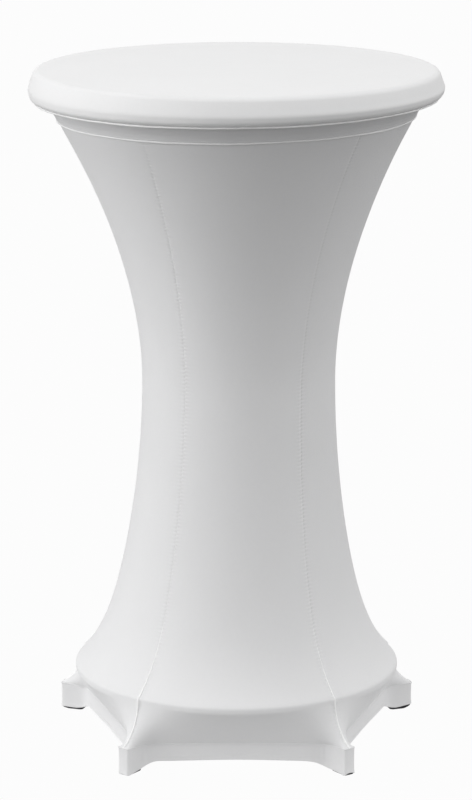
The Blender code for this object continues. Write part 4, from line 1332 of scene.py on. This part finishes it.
def make_floor(side):
    """A square floor that shows as plain white, throws a little light back, and glows with painted
    light round the feet.
    """
    mesh = bpy.data.meshes.new("floor")
    half = side / 2
    mesh.from_pydata([(-half, -half, 0.0), (half, -half, 0.0), (half, half, 0.0),
                      (-half, half, 0.0)], [], [(0, 1, 2, 3)])
    made, tree, shader = new_material("Pale floor")
    place = add_node(tree, "ShaderNodeTexCoord").outputs["Object"]
    grain = place_group(tree, mottle_group(), Place=place, Cloud_size=1.5, Fleck_size=40.0)
    feed(tree, shader["Base Color"], blend_colours(tree, grain["Cloud"], *FLOOR_TONES))
    shader["Roughness"].default_value = 0.9
    parts = add_node(tree, "ShaderNodeSeparateXYZ", in_Vector=place).outputs
    squares = [math_node(tree, "MULTIPLY", parts[axis], parts[axis]) for axis in "XY"]
    far = math_node(tree, "SQRT", math_node(tree, "ADD", *squares))
    # Painted light: an emission round the feet, though the floor is no lamp, that lights the
    # cover's lower parts.
    near = add_node(tree, "ShaderNodeMapRange", interpolation_type="SMOOTHSTEP", in_Value=far,
                    in_From_Min=PAINTED_GLOW_FULL, in_From_Max=PAINTED_GLOW_END, in_To_Min=PAINTED_GLOW, in_To_Max=0.0)
    painted_glow = add_node(tree, "ShaderNodeEmission", in_Strength=near.outputs["Result"])
    bright = add_node(tree, "ShaderNodeEmission", in_Strength=SEEN_WHITE)
    floor_and_painted_glow = add_node(tree, "ShaderNodeAddShader")
    both = add_node(tree, "ShaderNodeMixShader")
    seen = add_node(tree, "ShaderNodeLightPath").outputs["Is Camera Ray"]
    plain_floor = tree.nodes["Principled BSDF"].outputs[0]
    for socket, value in zip((*floor_and_painted_glow.inputs, *both.inputs),
                             (plain_floor, painted_glow.outputs[0], seen, floor_and_painted_glow.outputs[0],
                              bright.outputs[0])):
        feed(tree, socket, value)
    feed(tree, tree.nodes["Material Output"].inputs["Surface"], both.outputs[0])
    mesh.materials.append(made)
    floor = bpy.data.objects.new("floor", mesh)
    bpy.context.scene.collection.objects.link(floor)


class COVERED_PT_sidebar(bpy.types.Panel):
    """Lists the pieces of the covered table"""
    bl_label = "Covered table"
    bl_space_type = "VIEW_3D"
    bl_region_type = "UI"
    bl_category = "Covered table"

    def draw(self, context):
        for operator in OPERATORS:
            self.layout.operator(operator.bl_idname)


GROUPS = (("covered_top", TopSizes), ("covered_skirt", SkirtSizes), ("covered_base", BaseSizes),
          ("covered_finishes", Finishes), ("covered_stage", StageSizes))
OPERATORS = (COVERED_OT_topper, COVERED_OT_yoke, COVERED_OT_skirt, COVERED_OT_hems,
             COVERED_OT_boots, COVERED_OT_table, COVERED_OT_stage)


def register():
    for name, group in GROUPS:
        bpy.utils.register_class(group)
        setattr(bpy.types.Scene, name, PointerProperty(type=group))
    for operator in OPERATORS:
        bpy.utils.register_class(operator)
    bpy.utils.register_class(COVERED_PT_sidebar)


def unregister():
    bpy.utils.unregister_class(COVERED_PT_sidebar)
    for operator in reversed(OPERATORS):
        bpy.utils.unregister_class(operator)
    for name, group in reversed(GROUPS):
        delattr(bpy.types.Scene, name)
        bpy.utils.unregister_class(group)


def main():
    register()
    bpy.ops.covered_table.topper()
    bpy.ops.covered_table.yoke()
    bpy.ops.covered_table.skirt()
    bpy.ops.covered_table.hems()
    bpy.ops.covered_table.boots()
    bpy.ops.covered_table.table()
    bpy.ops.covered_table.stage()


if __name__ == "__main__":
    main()
